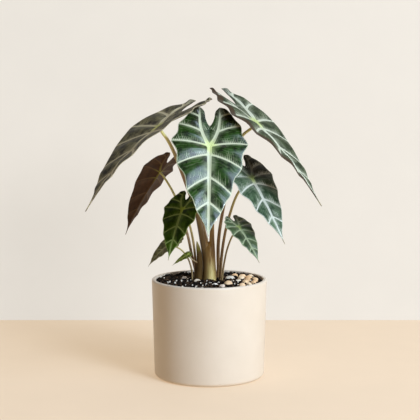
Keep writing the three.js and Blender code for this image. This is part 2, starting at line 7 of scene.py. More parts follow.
import bpy
import numpy as np
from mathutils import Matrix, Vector


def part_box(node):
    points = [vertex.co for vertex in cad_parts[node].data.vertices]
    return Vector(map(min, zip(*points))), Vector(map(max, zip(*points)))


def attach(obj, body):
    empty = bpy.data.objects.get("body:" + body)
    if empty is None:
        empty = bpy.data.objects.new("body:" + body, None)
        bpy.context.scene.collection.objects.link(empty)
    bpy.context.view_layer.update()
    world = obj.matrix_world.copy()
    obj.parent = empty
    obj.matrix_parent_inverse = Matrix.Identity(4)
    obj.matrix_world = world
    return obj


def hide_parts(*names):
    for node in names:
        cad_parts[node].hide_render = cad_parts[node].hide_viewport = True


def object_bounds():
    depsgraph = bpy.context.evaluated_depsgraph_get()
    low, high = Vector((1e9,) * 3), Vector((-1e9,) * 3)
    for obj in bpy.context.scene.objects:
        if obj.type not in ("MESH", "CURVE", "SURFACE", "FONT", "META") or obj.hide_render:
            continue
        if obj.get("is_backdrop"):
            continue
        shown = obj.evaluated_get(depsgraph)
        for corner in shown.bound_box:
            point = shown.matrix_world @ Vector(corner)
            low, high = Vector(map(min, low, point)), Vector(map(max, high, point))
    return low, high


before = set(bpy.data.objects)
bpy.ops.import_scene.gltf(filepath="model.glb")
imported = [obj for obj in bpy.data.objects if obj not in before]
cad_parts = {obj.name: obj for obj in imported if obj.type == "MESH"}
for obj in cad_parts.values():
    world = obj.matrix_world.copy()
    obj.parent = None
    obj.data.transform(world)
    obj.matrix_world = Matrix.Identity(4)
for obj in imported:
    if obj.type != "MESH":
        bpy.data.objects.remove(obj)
cad_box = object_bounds()
scene = bpy.context.scene
MM = 0.001

# The pot: slip-cast stoneware with a straight, slightly tapering wall, a rounded lip and heel and a
# thick floor. It was fired with a smooth matt cream glaze, and it stands flat on its foot.
POT_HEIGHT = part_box("pot")[1].z
RIM_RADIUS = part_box("pot")[1].x
BASE_RADIUS = 67 * MM
WALL = 4.5 * MM
FLOOR = 7 * MM
HEEL_ROUNDING = 5 * MM
LIP_ROUNDING = 2 * MM
INNER_ROUNDING = 1.2 * MM
CORNER_STEPS = 8
POT_SIDES = 160
PATH_RADIUS = 50 * MM


def linear(hex_colour):
    """The linear colour, with full alpha, of an sRGB hex colour."""
    parts = [int(hex_colour[i : i + 2], 16) / 255 for i in (1, 3, 5)]
    return [p / 12.92 if p <= 0.04045 else ((p + 0.055) / 1.055) ** 2.4 for p in parts] + [1]


def add_node(tree, kind, inputs=None, **settings):
    """Adds a node with its settings. Each input gets a value, or a link from an output or a node."""
    node = tree.nodes.new(kind)
    for name, value in settings.items():
        setattr(node, name, value)
    for key, value in (inputs or {}).items():
        if isinstance(value, bpy.types.Node):
            value = value.outputs[0]
        if isinstance(value, bpy.types.NodeSocket):
            tree.links.new(value, node.inputs[key])
        else:
            node.inputs[key].default_value = value
    return node


def new_material(name, roughness, ior=1.5):
    """A material, its tree, and the places on the piece that its patterns follow."""
    material = bpy.data.materials.new(name)
    material.use_nodes = True
    tree = material.node_tree
    tree.nodes["Principled BSDF"].inputs["Roughness"].default_value = roughness
    tree.nodes["Principled BSDF"].inputs["IOR"].default_value = ior
    return material, tree, add_node(tree, "ShaderNodeTexCoord").outputs["Object"]


def give_finish(material, colour, relief):
    """Gives a material its colour, and the relief of its last bump."""
    shader = material.node_tree.nodes["Principled BSDF"]
    material.node_tree.links.new(colour, shader.inputs["Base Color"])
    material.node_tree.links.new(relief.outputs["Normal"], shader.inputs["Normal"])


def new_tree(name, sizes):
    """A Geometry Nodes tree that takes a geometry and named sizes, and the outputs that give them."""
    tree = bpy.data.node_groups.new(name, "GeometryNodeTree")
    tree.interface.new_socket("Geometry", in_out="INPUT", socket_type="NodeSocketGeometry")
    tree.interface.new_socket("Geometry", in_out="OUTPUT", socket_type="NodeSocketGeometry")
    for label, kind in sizes.items():
        tree.interface.new_socket(label, in_out="INPUT", socket_type="NodeSocket" + kind)
    return tree, add_node(tree, "NodeGroupInput").outputs


def end_smooth(tree, geometry, material):
    """Ends a tree in a geometry that is shaded smooth and has its material."""
    smooth = add_node(tree, "GeometryNodeSetShadeSmooth", {"Geometry": geometry})
    coloured = add_node(tree, "GeometryNodeSetMaterial", {"Geometry": smooth, "Material": material})
    add_node(tree, "NodeGroupOutput", {0: coloured})


def in_scene(name, data):
    """A new object of a mesh, a lamp or a camera."""
    thing = bpy.data.objects.new(name, data)
    scene.collection.objects.link(thing)
    return thing


def made_plain(piece):
    """Keeps what a piece's modifiers make of it as its own mesh, and takes them off."""
    depsgraph = bpy.context.evaluated_depsgraph_get()
    result = bpy.data.meshes.new_from_object(
        piece.evaluated_get(depsgraph), preserve_all_data_layers=True, depsgraph=depsgraph
    )
    piece.modifiers.clear()
    piece.data = result
    return piece


def made_by(tree, name, base, sizes):
    """The piece that a tree makes of a base mesh with the given sizes."""
    piece = in_scene(name, base)
    modifier = piece.modifiers.new(tree.name, "NODES")
    modifier.node_group = tree
    for socket in tree.interface.items_tree:
        if socket.in_out == "INPUT" and socket.name in sizes:
            modifier[socket.identifier] = sizes[socket.name]
    return made_plain(piece)


def give_measures(mesh, **measures):
    """Gives every point of a mesh its own number for each measure."""
    for measure, values in measures.items():
        mesh.attributes.new(measure, "FLOAT", "POINT").data.foreach_set("value", values)


def line_mesh(name, places, **measures):
    """A mesh of one open line, with a number at each place for each measure."""
    mesh = bpy.data.meshes.new(name)
    mesh.from_pydata([tuple(p) for p in places], [(i, i + 1) for i in range(len(places) - 1)], [])
    give_measures(mesh, **measures)
    return mesh


def on_body(piece, slot, *cad_nodes):
    """The piece rides on the one body, and stands for the CAD nodes that it replaces."""
    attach(piece, "root")
    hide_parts(*cad_nodes)


# Matt glaze over stoneware: an even warm cream with a faint cloudiness, a fine tooth that keeps its
# highlight broad and soft, and slow waves in the wall left by the plaster mould.
ceramic, tree, place = new_material("matt_glazed_stoneware", 0.42)
cloud = add_node(tree, "ShaderNodeTexNoise", {"Vector": place, "Scale": 1 / (30 * MM), "Detail": 3})
cream = add_node(
    tree, "ShaderNodeMix", {0: cloud, 6: linear("#d1bfa6"), 7: linear("#dac9b2")}, data_type="RGBA"
)
tooth = add_node(tree, "ShaderNodeTexNoise", {"Vector": place, "Scale": 1 / (0.7 * MM), "Detail": 2})
wave = add_node(tree, "ShaderNodeTexNoise", {"Vector": place, "Scale": 1 / (45 * MM), "Detail": 0})
fine = add_node(tree, "ShaderNodeBump", {"Height": tooth, "Strength": 0.12, "Distance": 0.15 * MM})
slow = add_node(
    tree, "ShaderNodeBump", {"Height": wave, "Strength": 0.25, "Distance": 1.5 * MM, "Normal": fine}
)
give_finish(ceramic, cream.outputs[2], slow)

# The wall's outline from the middle of the underside round to the middle of the floor, with the
# rounding of each corner, is carried round the pot's axis. The circle that carries it may have any
# radius, because the outline is set back by as much.
tree, given = new_tree("Turned pot", {"Path radius": "Float", "Sides": "Int", "Glaze": "Material"})
outline = add_node(tree, "GeometryNodeMeshToCurve", {"Mesh": given["Geometry"]})
rounding = add_node(tree, "GeometryNodeInputNamedAttribute", {"Name": "rounding"})
outline = add_node(
    tree, "GeometryNodeFilletCurve",
    {"Curve": outline, "Count": CORNER_STEPS, "Radius": rounding}, mode="POLY",
)
turn = add_node(
    tree, "GeometryNodeCurvePrimitiveCircle",
    {"Resolution": given["Sides"], "Radius": given["Path radius"]},
)
wall = add_node(tree, "GeometryNodeCurveToMesh", {"Curve": turn, "Profile Curve": outline})
closed = add_node(tree, "GeometryNodeMergeByDistance", {"Geometry": wall, "Distance": 0.01 * MM})
end_smooth(tree, closed, given["Glaze"])

wall_corners = [
    (0, 0, 0),
    (BASE_RADIUS, 0, HEEL_ROUNDING),
    (RIM_RADIUS, POT_HEIGHT, LIP_ROUNDING),
    (RIM_RADIUS - WALL, POT_HEIGHT, INNER_ROUNDING),
    (BASE_RADIUS - WALL, FLOOR, HEEL_ROUNDING),
    (0, FLOOR, 0),
]
wall_outline = line_mesh(
    "pot_wall_outline",
    [(across - PATH_RADIUS, -height, 0) for across, height, _ in wall_corners],
    rounding=[corner[2] for corner in wall_corners],
)
pot = made_by(
    tree, "ceramic_pot", wall_outline, {"Path radius": PATH_RADIUS, "Sides": POT_SIDES, "Glaze": ceramic}
)
on_body(pot, "ceramic", "pot")

# The potting mix: black peat and composted bark in crumbs, loose on top, with white perlite worked
# in. It fills the pot to just under the lip and is heaped a little round the foot of the plant.
SOIL_LEVEL = 115 * MM
SOIL_MOUND = 2 * MM
MOUND_WIDTH = 24 * MM
SOIL_CLEARANCE = 0.5 * MM
SOIL_EDGE = RIM_RADIUS - WALL - SOIL_CLEARANCE


def soil_height(across):
    return SOIL_LEVEL + SOIL_MOUND * np.exp(-((across / MOUND_WIDTH) ** 2))


# Damp peat is nearly black, dull and soft; the chips of bark among it are brown.
peat, tree, place = new_material("damp_peat_and_bark", 0.8, ior=1.2)
crumb = add_node(tree, "ShaderNodeTexNoise", {"Vector": place, "Scale": 1 / (2 * MM), "Detail": 4})
chip = add_node(tree, "ShaderNodeAttribute", attribute_name="tint")
bark = add_node(
    tree, "ShaderNodeMapRange", {"Value": chip.outputs["Fac"], "From Min": 0.55, "From Max": 1}
)
brown = add_node(
    tree, "ShaderNodeMix", {0: bark, 6: linear("#17100a"), 7: linear("#5a422c")}, data_type="RGBA"
)
shade = add_node(
    tree, "ShaderNodeMapRange",
    {"Value": crumb, "From Min": 0.3, "From Max": 0.7, "To Min": 0.5, "To Max": 1.3},
)
crumbly = add_node(tree, "ShaderNodeVectorMath", {0: brown.outputs[2], "Scale": shade}, operation="SCALE")
rough = add_node(tree, "ShaderNodeBump", {"Height": crumb, "Strength": 0.8, "Distance": 0.6 * MM})
give_finish(peat, crumbly.outputs[0], rough)

# Perlite is puffed volcanic glass: bright white, dry and finely pitted.
perlite, tree, place = new_material("puffed_perlite", 0.85)
pits = add_node(tree, "ShaderNodeTexNoise", {"Vector": place, "Scale": 1 / (1.2 * MM), "Detail": 3})
white = add_node(
    tree, "ShaderNodeMix", {0: pits, 6: linear("#cfc0a6"), 7: linear("#fbeeda")}, data_type="RGBA"
)
pitted = add_node(tree, "ShaderNodeBump", {"Height": pits, "Strength": 0.6, "Distance": 0.3 * MM})
give_finish(perlite, white.outputs[2], pitted)

# Crumbs and perlite lie scattered over the roughened top of the soil, each a dented block of a few
# faces with its own size and turn. Perlite floats up, so it lies a little higher than the crumbs.
# Each kind of grain has the measure that says how much of it lies at a place, and its material.
GRAINS = (("Crumb", "top", "Peat"), ("Perlite", "perlite", "Perlite"))
GRAIN_SIZES = (0.55, 0.5, 0.45), (1.35, 1.15, 0.95)
FULL_TURNS = (2 * math.pi,) * 3
tree, given = new_tree(
    "Potting mix",
    {
        "Lump height": "Float", "Lump spacing": "Float", "Crumb size": "Float",
        "Crumb density": "Float", "Crumb lift": "Float", "Perlite size": "Float",
        "Perlite density": "Float", "Perlite lift": "Float", "Seed": "Int",
        "Peat": "Material", "Perlite": "Material",
    },
)
top = add_node(tree, "GeometryNodeInputNamedAttribute", {"Name": "top"})
spacing = add_node(tree, "ShaderNodeMath", {0: 1, 1: given["Lump spacing"]}, operation="DIVIDE")
noise = add_node(tree, "ShaderNodeTexNoise", {"Scale": spacing, "Detail": 3})
swing = add_node(tree, "ShaderNodeMath", {0: noise, 1: 0.5}, operation="SUBTRACT")
reach = add_node(tree, "ShaderNodeMath", {0: swing, 1: top}, operation="MULTIPLY")
reach = add_node(tree, "ShaderNodeMath", {0: reach, 1: given["Lump height"]}, operation="MULTIPLY")
upward = add_node(tree, "ShaderNodeCombineXYZ", {"Z": reach})
ground = add_node(tree, "GeometryNodeSetPosition", {"Geometry": given["Geometry"], "Offset": upward})
ground_peat = add_node(tree, "GeometryNodeSetMaterial", {"Geometry": ground, "Material": given["Peat"]})
layers = add_node(tree, "GeometryNodeJoinGeometry", {0: ground_peat})
for order, (grain, amount, stuff) in enumerate(GRAINS):
    share = add_node(tree, "GeometryNodeInputNamedAttribute", {"Name": amount})
    density = add_node(
        tree, "ShaderNodeMath", {0: share, 1: given[grain + " density"]}, operation="MULTIPLY"
    )
    seed = add_node(tree, "ShaderNodeMath", {0: given["Seed"], 1: order}, operation="ADD")
    spots = add_node(
        tree, "GeometryNodeDistributePointsOnFaces", {"Mesh": ground, "Density": density, "Seed": seed}
    )
    lift = add_node(tree, "ShaderNodeCombineXYZ", {"Z": given[grain + " lift"]})
    raised = add_node(tree, "GeometryNodeSetPosition", {"Geometry": spots, "Offset": lift})
    block = add_node(tree, "GeometryNodeMeshCube", {"Vertices X": 3, "Vertices Y": 3, "Vertices Z": 3})
    corner = add_node(tree, "GeometryNodeInputPosition")
    rounded = add_node(tree, "ShaderNodeVectorMath", {0: corner}, operation="NORMALIZE")
    rounded = add_node(tree, "ShaderNodeVectorMath", {0: rounded, "Scale": 0.5}, operation="SCALE")
    dents = add_node(tree, "ShaderNodeTexNoise", {"Scale": 1.9, "Detail": 1})
    dents = add_node(
        tree, "ShaderNodeVectorMath", {0: dents.outputs["Color"], 1: (0.5, 0.5, 0.5)},
        operation="SUBTRACT",
    )
    dented = add_node(
        tree, "GeometryNodeSetPosition", {"Geometry": block, "Position": rounded, "Offset": dents}
    )
    turned = add_node(
        tree, "FunctionNodeRandomValue",
        {0: (0, 0, 0), 1: FULL_TURNS, "Seed": seed}, data_type="FLOAT_VECTOR",
    )
    sized = add_node(
        tree, "FunctionNodeRandomValue",
        {0: GRAIN_SIZES[0], 1: GRAIN_SIZES[1], "Seed": seed}, data_type="FLOAT_VECTOR",
    )
    sized = add_node(
        tree, "ShaderNodeVectorMath", {0: sized, "Scale": given[grain + " size"]}, operation="SCALE"
    )
    strewn = add_node(
        tree, "GeometryNodeInstanceOnPoints",
        {"Points": raised, "Instance": dented, "Rotation": turned, "Scale": sized},
    )
    tint = add_node(tree, "FunctionNodeRandomValue", {2: 0.0, 3: 1.0, "Seed": 5})
    tinted = add_node(
        tree, "GeometryNodeStoreNamedAttribute",
        {"Geometry": strewn, "Name": "tint", "Value": tint.outputs[1]}, domain="INSTANCE",
    )
    real = add_node(tree, "GeometryNodeRealizeInstances", {"Geometry": tinted})
    coloured = add_node(tree, "GeometryNodeSetMaterial", {"Geometry": real, "Material": given[stuff]})
    tree.links.new(coloured.outputs[0], layers.inputs[0])
add_node(tree, "NodeGroupOutput", {0: layers})

SOIL_RINGS = 26
SOIL_SIDES = 84
body_rings = [
    (BASE_RADIUS - WALL - HEEL_ROUNDING - SOIL_CLEARANCE, FLOOR + SOIL_CLEARANCE),
    (BASE_RADIUS - WALL - SOIL_CLEARANCE, FLOOR + HEEL_ROUNDING + SOIL_CLEARANCE),
]
top_rings = [SOIL_EDGE * r / SOIL_RINGS for r in range(SOIL_RINGS, 0, -1)]
rings = body_rings + [(across, soil_height(across)) for across in top_rings]
angles = np.arange(SOIL_SIDES) * 2 * math.pi / SOIL_SIDES
verts = [(0, 0, body_rings[0][1])]
for across, height in rings:
    verts += [(across * math.cos(a), across * math.sin(a), height) for a in angles]
verts.append((0, 0, soil_height(0)))
faces = []
for s in range(SOIL_SIDES):
    after = (s + 1) % SOIL_SIDES
    faces.append((0, 1 + after, 1 + s))
    for r in range(len(rings) - 1):
        low = 1 + r * SOIL_SIDES
        faces.append((low + s, low + after, low + SOIL_SIDES + after, low + SOIL_SIDES + s))
    last = 1 + (len(rings) - 1) * SOIL_SIDES
    faces.append((last + s, last + after, len(verts) - 1))
soil_plug = bpy.data.meshes.new("soil_plug")
soil_plug.from_pydata(verts, [], faces)
spots = np.array(verts)
across = np.hypot(spots[:, 0], spots[:, 1])
# The top is every point from the soil's level up, apart from the ring along the wall.
on_top = (spots[:, 2] > SOIL_LEVEL - 1 * MM) & (across < SOIL_EDGE - 0.5 * MM)


def heap(x, y, half_x, half_y):
    """How near each spot is to a heap's middle, given in millimetres: 1 there and 0 far away."""
    aside = (spots[:, 0] - x * MM) / (half_x * MM)
    behind = (spots[:, 1] - y * MM) / (half_y * MM)
    return np.exp(-(aside**2) - behind**2)


# More perlite has washed to the front of the pot, and in two heaps: round the foot of the plant and
# among the pebbles. A heap has its middle and its halves in millimetres, and its share.
PERLITE_EVERYWHERE, PERLITE_IN_FRONT = 0.25, 1.3
PERLITE_HEAPS = [(4, -20, 13, 14, 1.5), (32, -20, 9, 14, 1.8)]
front = np.clip(-spots[:, 1] / SOIL_EDGE, 0, 1) ** 2
perlite_share = PERLITE_EVERYWHERE + PERLITE_IN_FRONT * front**2
for *place, share in PERLITE_HEAPS:
    perlite_share = perlite_share + share * heap(*place)

# The soil is flat under and beside each river pebble, with fewer crumbs. A pebble's numbers are its
# x and y, half its length and half its width in millimetres, and its turn in degrees.
PEBBLES = {
    "tan_1": (22.5, -27, 5.3, 4.4, 15), "tan_2": (31.6, 30, 4.9, 4, 70),
    "tan_3": (39.2, 11, 5.4, 4.3, 95), "tan_4": (48.6, 13.5, 5.2, 4.3, 80),
    "tan_5": (43.4, -16.5, 5.6, 4.3, 100), "tan_6": (38.9, -38.5, 4.8, 4, 60),
    "tan_7": (55.2, -10.5, 4.8, 3.8, 75), "tan_8": (47.3, -31.5, 4.6, 3.7, 120),
    "tan_9": (46.4, -2.4, 5.4, 4.1, 85), "tan_10": (55.8, 3.2, 5, 3.7, 100),
    "tan_11": (41, 24.5, 5.2, 4.1, 60), "tan_12": (53, -22, 4.4, 3.5, 110),
    "tan_13": (50.8, 24.4, 4.6, 3.9, 50), "grey_right": (25.4, 8.9, 5.7, 4.2, 10),
    "rose": (15.1, -44, 3.9, 3.4, -20), "white": (6.8, -32.6, 3.2, 2.9, 40),
    "cream_left": (-14.4, -12.2, 4.3, 3.4, 5), "cream_right": (35.4, -7.4, 3.4, 3, 30),
    "grey_left": (-30.8, 14.1, 3.6, 3.1, 25), "small_left": (-26.4, 3, 2.4, 2.1, -30),
}
flat_share = np.zeros(len(spots))
for x, y, half_length, *_ in PEBBLES.values():
    flat_share = np.maximum(flat_share, heap(x, y, half_length, half_length))
give_measures(soil_plug, top=on_top * (1 - flat_share), perlite=on_top * perlite_share)
soil = made_by(
    tree, "potting_mix", soil_plug,
    {
        "Lump height": 7 * MM, "Lump spacing": 11 * MM, "Crumb size": 5 * MM,
        "Crumb density": 1.1e5, "Crumb lift": 0.6 * MM, "Perlite size": 3 * MM,
        "Perlite density": 1.5e4, "Perlite lift": 1.8 * MM, "Seed": 11,
        "Peat": peat, "Perlite": perlite,
    },
)
on_body(soil, "potting_soil", "soil")

# The pebbles: water-worn river stones laid on the soil, tan ones close together at the right and
# grey, white and cream ones here and there. They only rest there, about a quarter sunk into the soil.
PEBBLE_FLATNESS = 0.86
PEBBLE_SUNK = 0.28
PEBBLE_DENT = 1.4 * MM
PEBBLE_DENT_SPACING = 6 * MM
TAN_COLOURS = ["#f6cd9c", "#e6b985", "#f8d9ae", "#deb17d", "#f0c997"]
OTHER_COLOURS = {
    "grey_right": "#ded2bc", "rose": "#f0d6bb", "white": "#fbf1e0", "cream_left": "#f6e2c3",
    "cream_right": "#f2e0c2", "grey_left": "#dcc8b0", "small_left": "#d8bfa0",
}


# River stone is dull and fine-grained: cloudy, with a few darker flecks and a slightly waxy polish.
def river_stone(name, colour):
    material, tree, place = new_material(name, 0.55)
    cloud = add_node(tree, "ShaderNodeTexNoise", {"Vector": place, "Scale": 1 / (5 * MM), "Detail": 4})
    shade = add_node(
        tree, "ShaderNodeMapRange",
        {"Value": cloud, "From Min": 0.3, "From Max": 0.7, "To Min": 0.78, "To Max": 1.15},
    )
    shaded = add_node(
        tree, "ShaderNodeVectorMath", {0: linear(colour)[:3], "Scale": shade}, operation="SCALE"
    )
    flecks = add_node(tree, "ShaderNodeTexVoronoi", {"Vector": place, "Scale": 1 / (1.6 * MM)})
    fleck = add_node(
        tree, "ShaderNodeMapRange",
        {"Value": flecks, "From Min": 0.1, "From Max": 0.18, "To Min": 0.6, "To Max": 1},
    )
    flecked = add_node(tree, "ShaderNodeVectorMath", {0: shaded, "Scale": fleck}, operation="SCALE")
    worn = add_node(tree, "ShaderNodeBump", {"Height": cloud, "Strength": 0.3, "Distance": 0.5 * MM})
    give_finish(material, flecked.outputs[0], worn)
    return material


# One ball is laid at a place on the soil, turned and scaled to the pebble's halves, and then dented.
stone_tree, given = new_tree(
    "River pebble",
    {"Halves": "Vector", "Turn": "Float", "Dent": "Float", "Dent spacing": "Float", "Stone": "Material"},
)
upright = add_node(stone_tree, "ShaderNodeCombineXYZ", {"Z": given["Turn"]})
ball = add_node(stone_tree, "GeometryNodeMeshIcoSphere", {"Radius": 1, "Subdivisions": 5})
laid = add_node(
    stone_tree, "GeometryNodeInstanceOnPoints",
    {"Points": given["Geometry"], "Instance": ball, "Rotation": upright, "Scale": given["Halves"]},
)
real = add_node(stone_tree, "GeometryNodeRealizeInstances", {"Geometry": laid})
spacing = add_node(stone_tree, "ShaderNodeMath", {0: 1, 1: given["Dent spacing"]}, operation="DIVIDE")
dents = add_node(stone_tree, "ShaderNodeTexNoise", {"Scale": spacing, "Detail": 1})
swing = add_node(stone_tree, "ShaderNodeMath", {0: dents, 1: 0.5}, operation="SUBTRACT")
depth = add_node(stone_tree, "ShaderNodeMath", {0: swing, 1: given["Dent"]}, operation="MULTIPLY")
normal = add_node(stone_tree, "GeometryNodeInputNormal")
push = add_node(stone_tree, "ShaderNodeVectorMath", {0: normal, "Scale": depth}, operation="SCALE")
worn = add_node(stone_tree, "GeometryNodeSetPosition", {"Geometry": real, "Offset": push})
end_smooth(stone_tree, worn, given["Stone"])

for n, (name, (x, y, half_length, half_width, turn)) in enumerate(PEBBLES.items()):
    half_height = half_width * PEBBLE_FLATNESS
    lift = half_height * (1 - 2 * PEBBLE_SUNK)
    middle = bpy.data.meshes.new(name)
    middle.from_pydata([(x * MM, y * MM, soil_height(math.hypot(x, y) * MM) + lift * MM)], [], [])
    colour = OTHER_COLOURS.get(name, TAN_COLOURS[n % len(TAN_COLOURS)])
    pebble = made_by(
        stone_tree, "river_pebble_" + name, middle,
        {"Halves": (half_length * MM, half_width * MM, half_height * MM), "Turn": math.radians(turn),
         "Dent": PEBBLE_DENT, "Dent spacing": PEBBLE_DENT_SPACING,
         "Stone": river_stone("river_stone_" + name, colour)},
    )
    on_body(pebble, "stone_tan" if name.startswith("tan") else "stone_pale", "pebble_" + name)

# The stem: the thick clasping bases of the leaf stalks, wrapped round each other into one trunk that
# forks into two limbs. It is brown and streaky, and yellow-green low down at the front.
STEM_TRUNK = [
    (0, 0, 92, 8.6), (0, 0, 114, 9.2), (0, 0, 121, 8.6), (-0.1, 0, 134, 7.8), (-0.4, 0, 147, 7.2),
    (-0.8, 0, 157, 6), (-1, -0.2, 164, 2.6),
]
STEM_LEFT_LIMB = [
    (-2.4, 0, 126, 5.2), (-4.2, 0, 150, 5.1), (-7.2, -0.3, 168, 5), (-11.7, -1, 190, 4.2),
    (-16, -2.2, 205, 3.3),
]
STEM_RIGHT_LIMB = [(3.4, -1, 130, 4.8), (3.4, -1.4, 150, 4), (3.3, -2.2, 168, 3.1), (3.4, -4, 186, 2.6)]
# Leaf bases have soft ribs along them, raised by a share of the radius. Each run gets a place at every
# step, in millimetres, and so many sides round it.
RIBS, RIB_RELIEF = 5, 0.05
STEM_STEP, STEM_SIDES = 2, 48
FUSE_GRAIN = 0.6 * MM


def smooth_run(places, step):
    """Places about a step apart on the centripetal Catmull-Rom curve through the given ones."""
    points = [np.array(p, float) for p in places]
    points = [2 * points[0] - points[1], *points, 2 * points[-1] - points[-2]]
    run = []
    for k in range(1, len(points) - 2):
        p = points[k - 1 : k + 3]
        t = [0]
        for a, b in zip(p, p[1:]):
            t.append(t[-1] + max(np.linalg.norm(b[:3] - a[:3]), 1e-6) ** 0.5)
        count = max(2, round(np.linalg.norm(p[2][:3] - p[1][:3]) / step))
        last = k == len(points) - 3
        for at in np.linspace(t[1], t[2], count + 1)[: None if last else -1]:
            a = [p[i] + (p[i + 1] - p[i]) * (at - t[i]) / (t[i + 1] - t[i]) for i in range(3)]
            b = [a[i] + (a[i + 1] - a[i]) * (at - t[i]) / (t[i + 2] - t[i]) for i in range(2)]
            run.append(b[0] + (b[1] - b[0]) * (at - t[1]) / (t[2] - t[1]))
    return np.array(run)


# A ribbed or round section, scaled by each place's radius, is carried along a run and capped.
sweep, given = new_tree(
    "Swept stalk", {"Sides": "Int", "Ribs": "Float", "Rib depth": "Float", "Skin": "Material"}
)
run = add_node(sweep, "GeometryNodeMeshToCurve", {"Mesh": given["Geometry"]})
ring = add_node(sweep, "GeometryNodeCurvePrimitiveCircle", {"Resolution": given["Sides"], "Radius": 1})
position = add_node(sweep, "GeometryNodeInputPosition")
split = add_node(sweep, "ShaderNodeSeparateXYZ", {0: position})
angle = add_node(
    sweep, "ShaderNodeMath", {0: split.outputs["Y"], 1: split.outputs["X"]}, operation="ARCTAN2"
)
angle = add_node(sweep, "ShaderNodeMath", {0: angle, 1: given["Ribs"]}, operation="MULTIPLY")
crest = add_node(sweep, "ShaderNodeMath", {0: angle}, operation="COSINE")
stretch = add_node(
    sweep, "ShaderNodeMath", {0: crest, 1: given["Rib depth"], 2: 1}, operation="MULTIPLY_ADD"
)
ribbed = add_node(sweep, "ShaderNodeVectorMath", {0: position, "Scale": stretch}, operation="SCALE")
ring = add_node(sweep, "GeometryNodeSetPosition", {"Geometry": ring, "Position": ribbed})
radius = add_node(sweep, "GeometryNodeInputNamedAttribute", {"Name": "radius"})
skin = add_node(
    sweep, "GeometryNodeCurveToMesh",
    {"Curve": run, "Profile Curve": ring, "Scale": radius, "Fill Caps": True},
)
end_smooth(sweep, skin, given["Skin"])


def swept(name, run, skin, sides, ribs=0, rib_depth=0):
    """A stalk or limb through places [x, y, z, radius]; along counts from 0 at its foot to 1."""
    reach = np.r_[0, np.cumsum(np.linalg.norm(np.diff(run[:, :3], axis=0), axis=1))]
    base = line_mesh(name, run[:, :3] * MM, radius=run[:, 3] * MM, along=reach / reach[-1])
    return made_by(
        sweep, name, base, {"Sides": sides, "Ribs": ribs, "Rib depth": rib_depth, "Skin": skin}
    )


def upright_fibres(tree, place, width, squeeze, detail):
    """Noise as fine across as the width, and drawn out upwards by squeezing the heights."""
    squeezed = add_node(tree, "ShaderNodeVectorMath", {0: place, 1: (1, 1, squeeze)}, operation="MULTIPLY")
    return add_node(tree, "ShaderNodeTexNoise", {"Vector": squeezed, "Scale": 1 / width, "Detail": detail})


# Stem skin is waxy and fibrous: upright streaks of olive brown, with painted shade darkening the left side,
# and a pale yellow-green low at the front where old leaf bases were peeled off, brightened there by a
# painted highlight towards the lit right.
stem_skin, tree, place = new_material("fibrous_stem_skin", 0.42)
streak = upright_fibres(tree, place, width=2.6 * MM, squeeze=0.12, detail=4)
share = add_node(tree, "ShaderNodeMapRange", {"Value": streak, "From Min": 0.32, "From Max": 0.68})
split = add_node(tree, "ShaderNodeSeparateXYZ", {0: place})
height = add_node(
    tree, "ShaderNodeMath", {0: streak, 1: -24 * MM, 2: split.outputs["Z"]}, operation="MULTIPLY_ADD"
)
# The pale patch is the peeled base's own colour, brightened by a painted highlight on the lit right of the
# front.
peeled_edges = [
    add_node(
        tree, "ShaderNodeMapRange", {"Value": value, "From Min": start * MM, "From Max": full * MM},
        interpolation_type="SMOOTHSTEP",
    )
    for value, start, full in (
        (height, 136, 112), (split.outputs["Y"], -1, -7), (split.outputs["X"], -6, 1.5),
    )
]
peeled = peeled_edges[0]
for edge in peeled_edges[1:]:
    peeled = add_node(tree, "ShaderNodeMath", {0: peeled, 1: edge}, operation="MULTIPLY")
dark = add_node(
    tree, "ShaderNodeMix", {0: share, 6: linear("#7a5a2a"), 7: linear("#bd9654")}, data_type="RGBA"
)
light = add_node(
    tree, "ShaderNodeMix", {0: share, 6: linear("#d9bd6c"), 7: linear("#f2e099")}, data_type="RGBA"
)
skin_colour = add_node(
    tree, "ShaderNodeMix", {0: peeled, 6: dark.outputs[2], 7: light.outputs[2]}, data_type="RGBA"
)
# Painted shade: the left side of the stem, turned from the light, goes towards a deep brown; the line moves
# left up the left limb.
above = add_node(
    tree, "ShaderNodeMapRange",
    {"Value": split.outputs["Z"], "From Min": 150 * MM, "From Max": 210 * MM, "To Max": 7 * MM},
)
sideways = add_node(tree, "ShaderNodeMath", {0: split.outputs["X"], 1: above}, operation="ADD")
painted_left_shade = add_node(
    tree, "ShaderNodeMapRange",
    {"Value": sideways, "From Min": 1 * MM, "From Max": -6 * MM, "To Max": 0.85},
    interpolation_type="SMOOTHSTEP",
)
skin_colour = add_node(
    tree, "ShaderNodeMix", {0: painted_left_shade, 6: skin_colour.outputs[2], 7: linear("#4f3810")}, data_type="RGBA"
)
fibres = add_node(tree, "ShaderNodeBump", {"Height": streak, "Strength": 0.5, "Distance": 0.6 * MM})
give_finish(stem_skin, skin_colour.outputs[2], fibres)

limbs = [
    swept(name, smooth_run(stations, STEM_STEP), stem_skin, STEM_SIDES, RIBS, RIB_RELIEF)
    for name, stations in (
        ("stem_trunk", STEM_TRUNK), ("stem_left_limb", STEM_LEFT_LIMB),
        ("stem_right_limb", STEM_RIGHT_LIMB),
    )
]
# The limbs grow out of the trunk, so the three are grown into one skin.
with bpy.context.temp_override(active_object=limbs[0], selected_editable_objects=limbs):
    bpy.ops.object.join()
stem = limbs[0]
stem.name = "wrapped_stem"
fuse = stem.modifiers.new("fuse", "REMESH")
fuse.mode, fuse.voxel_size, fuse.use_smooth_shade = "VOXEL", FUSE_GRAIN, True
settle = stem.modifiers.new("settle", "SMOOTH")
settle.factor, settle.iterations = 0.5, 6
made_plain(stem)
on_body(stem, "stem_skin", "stem")

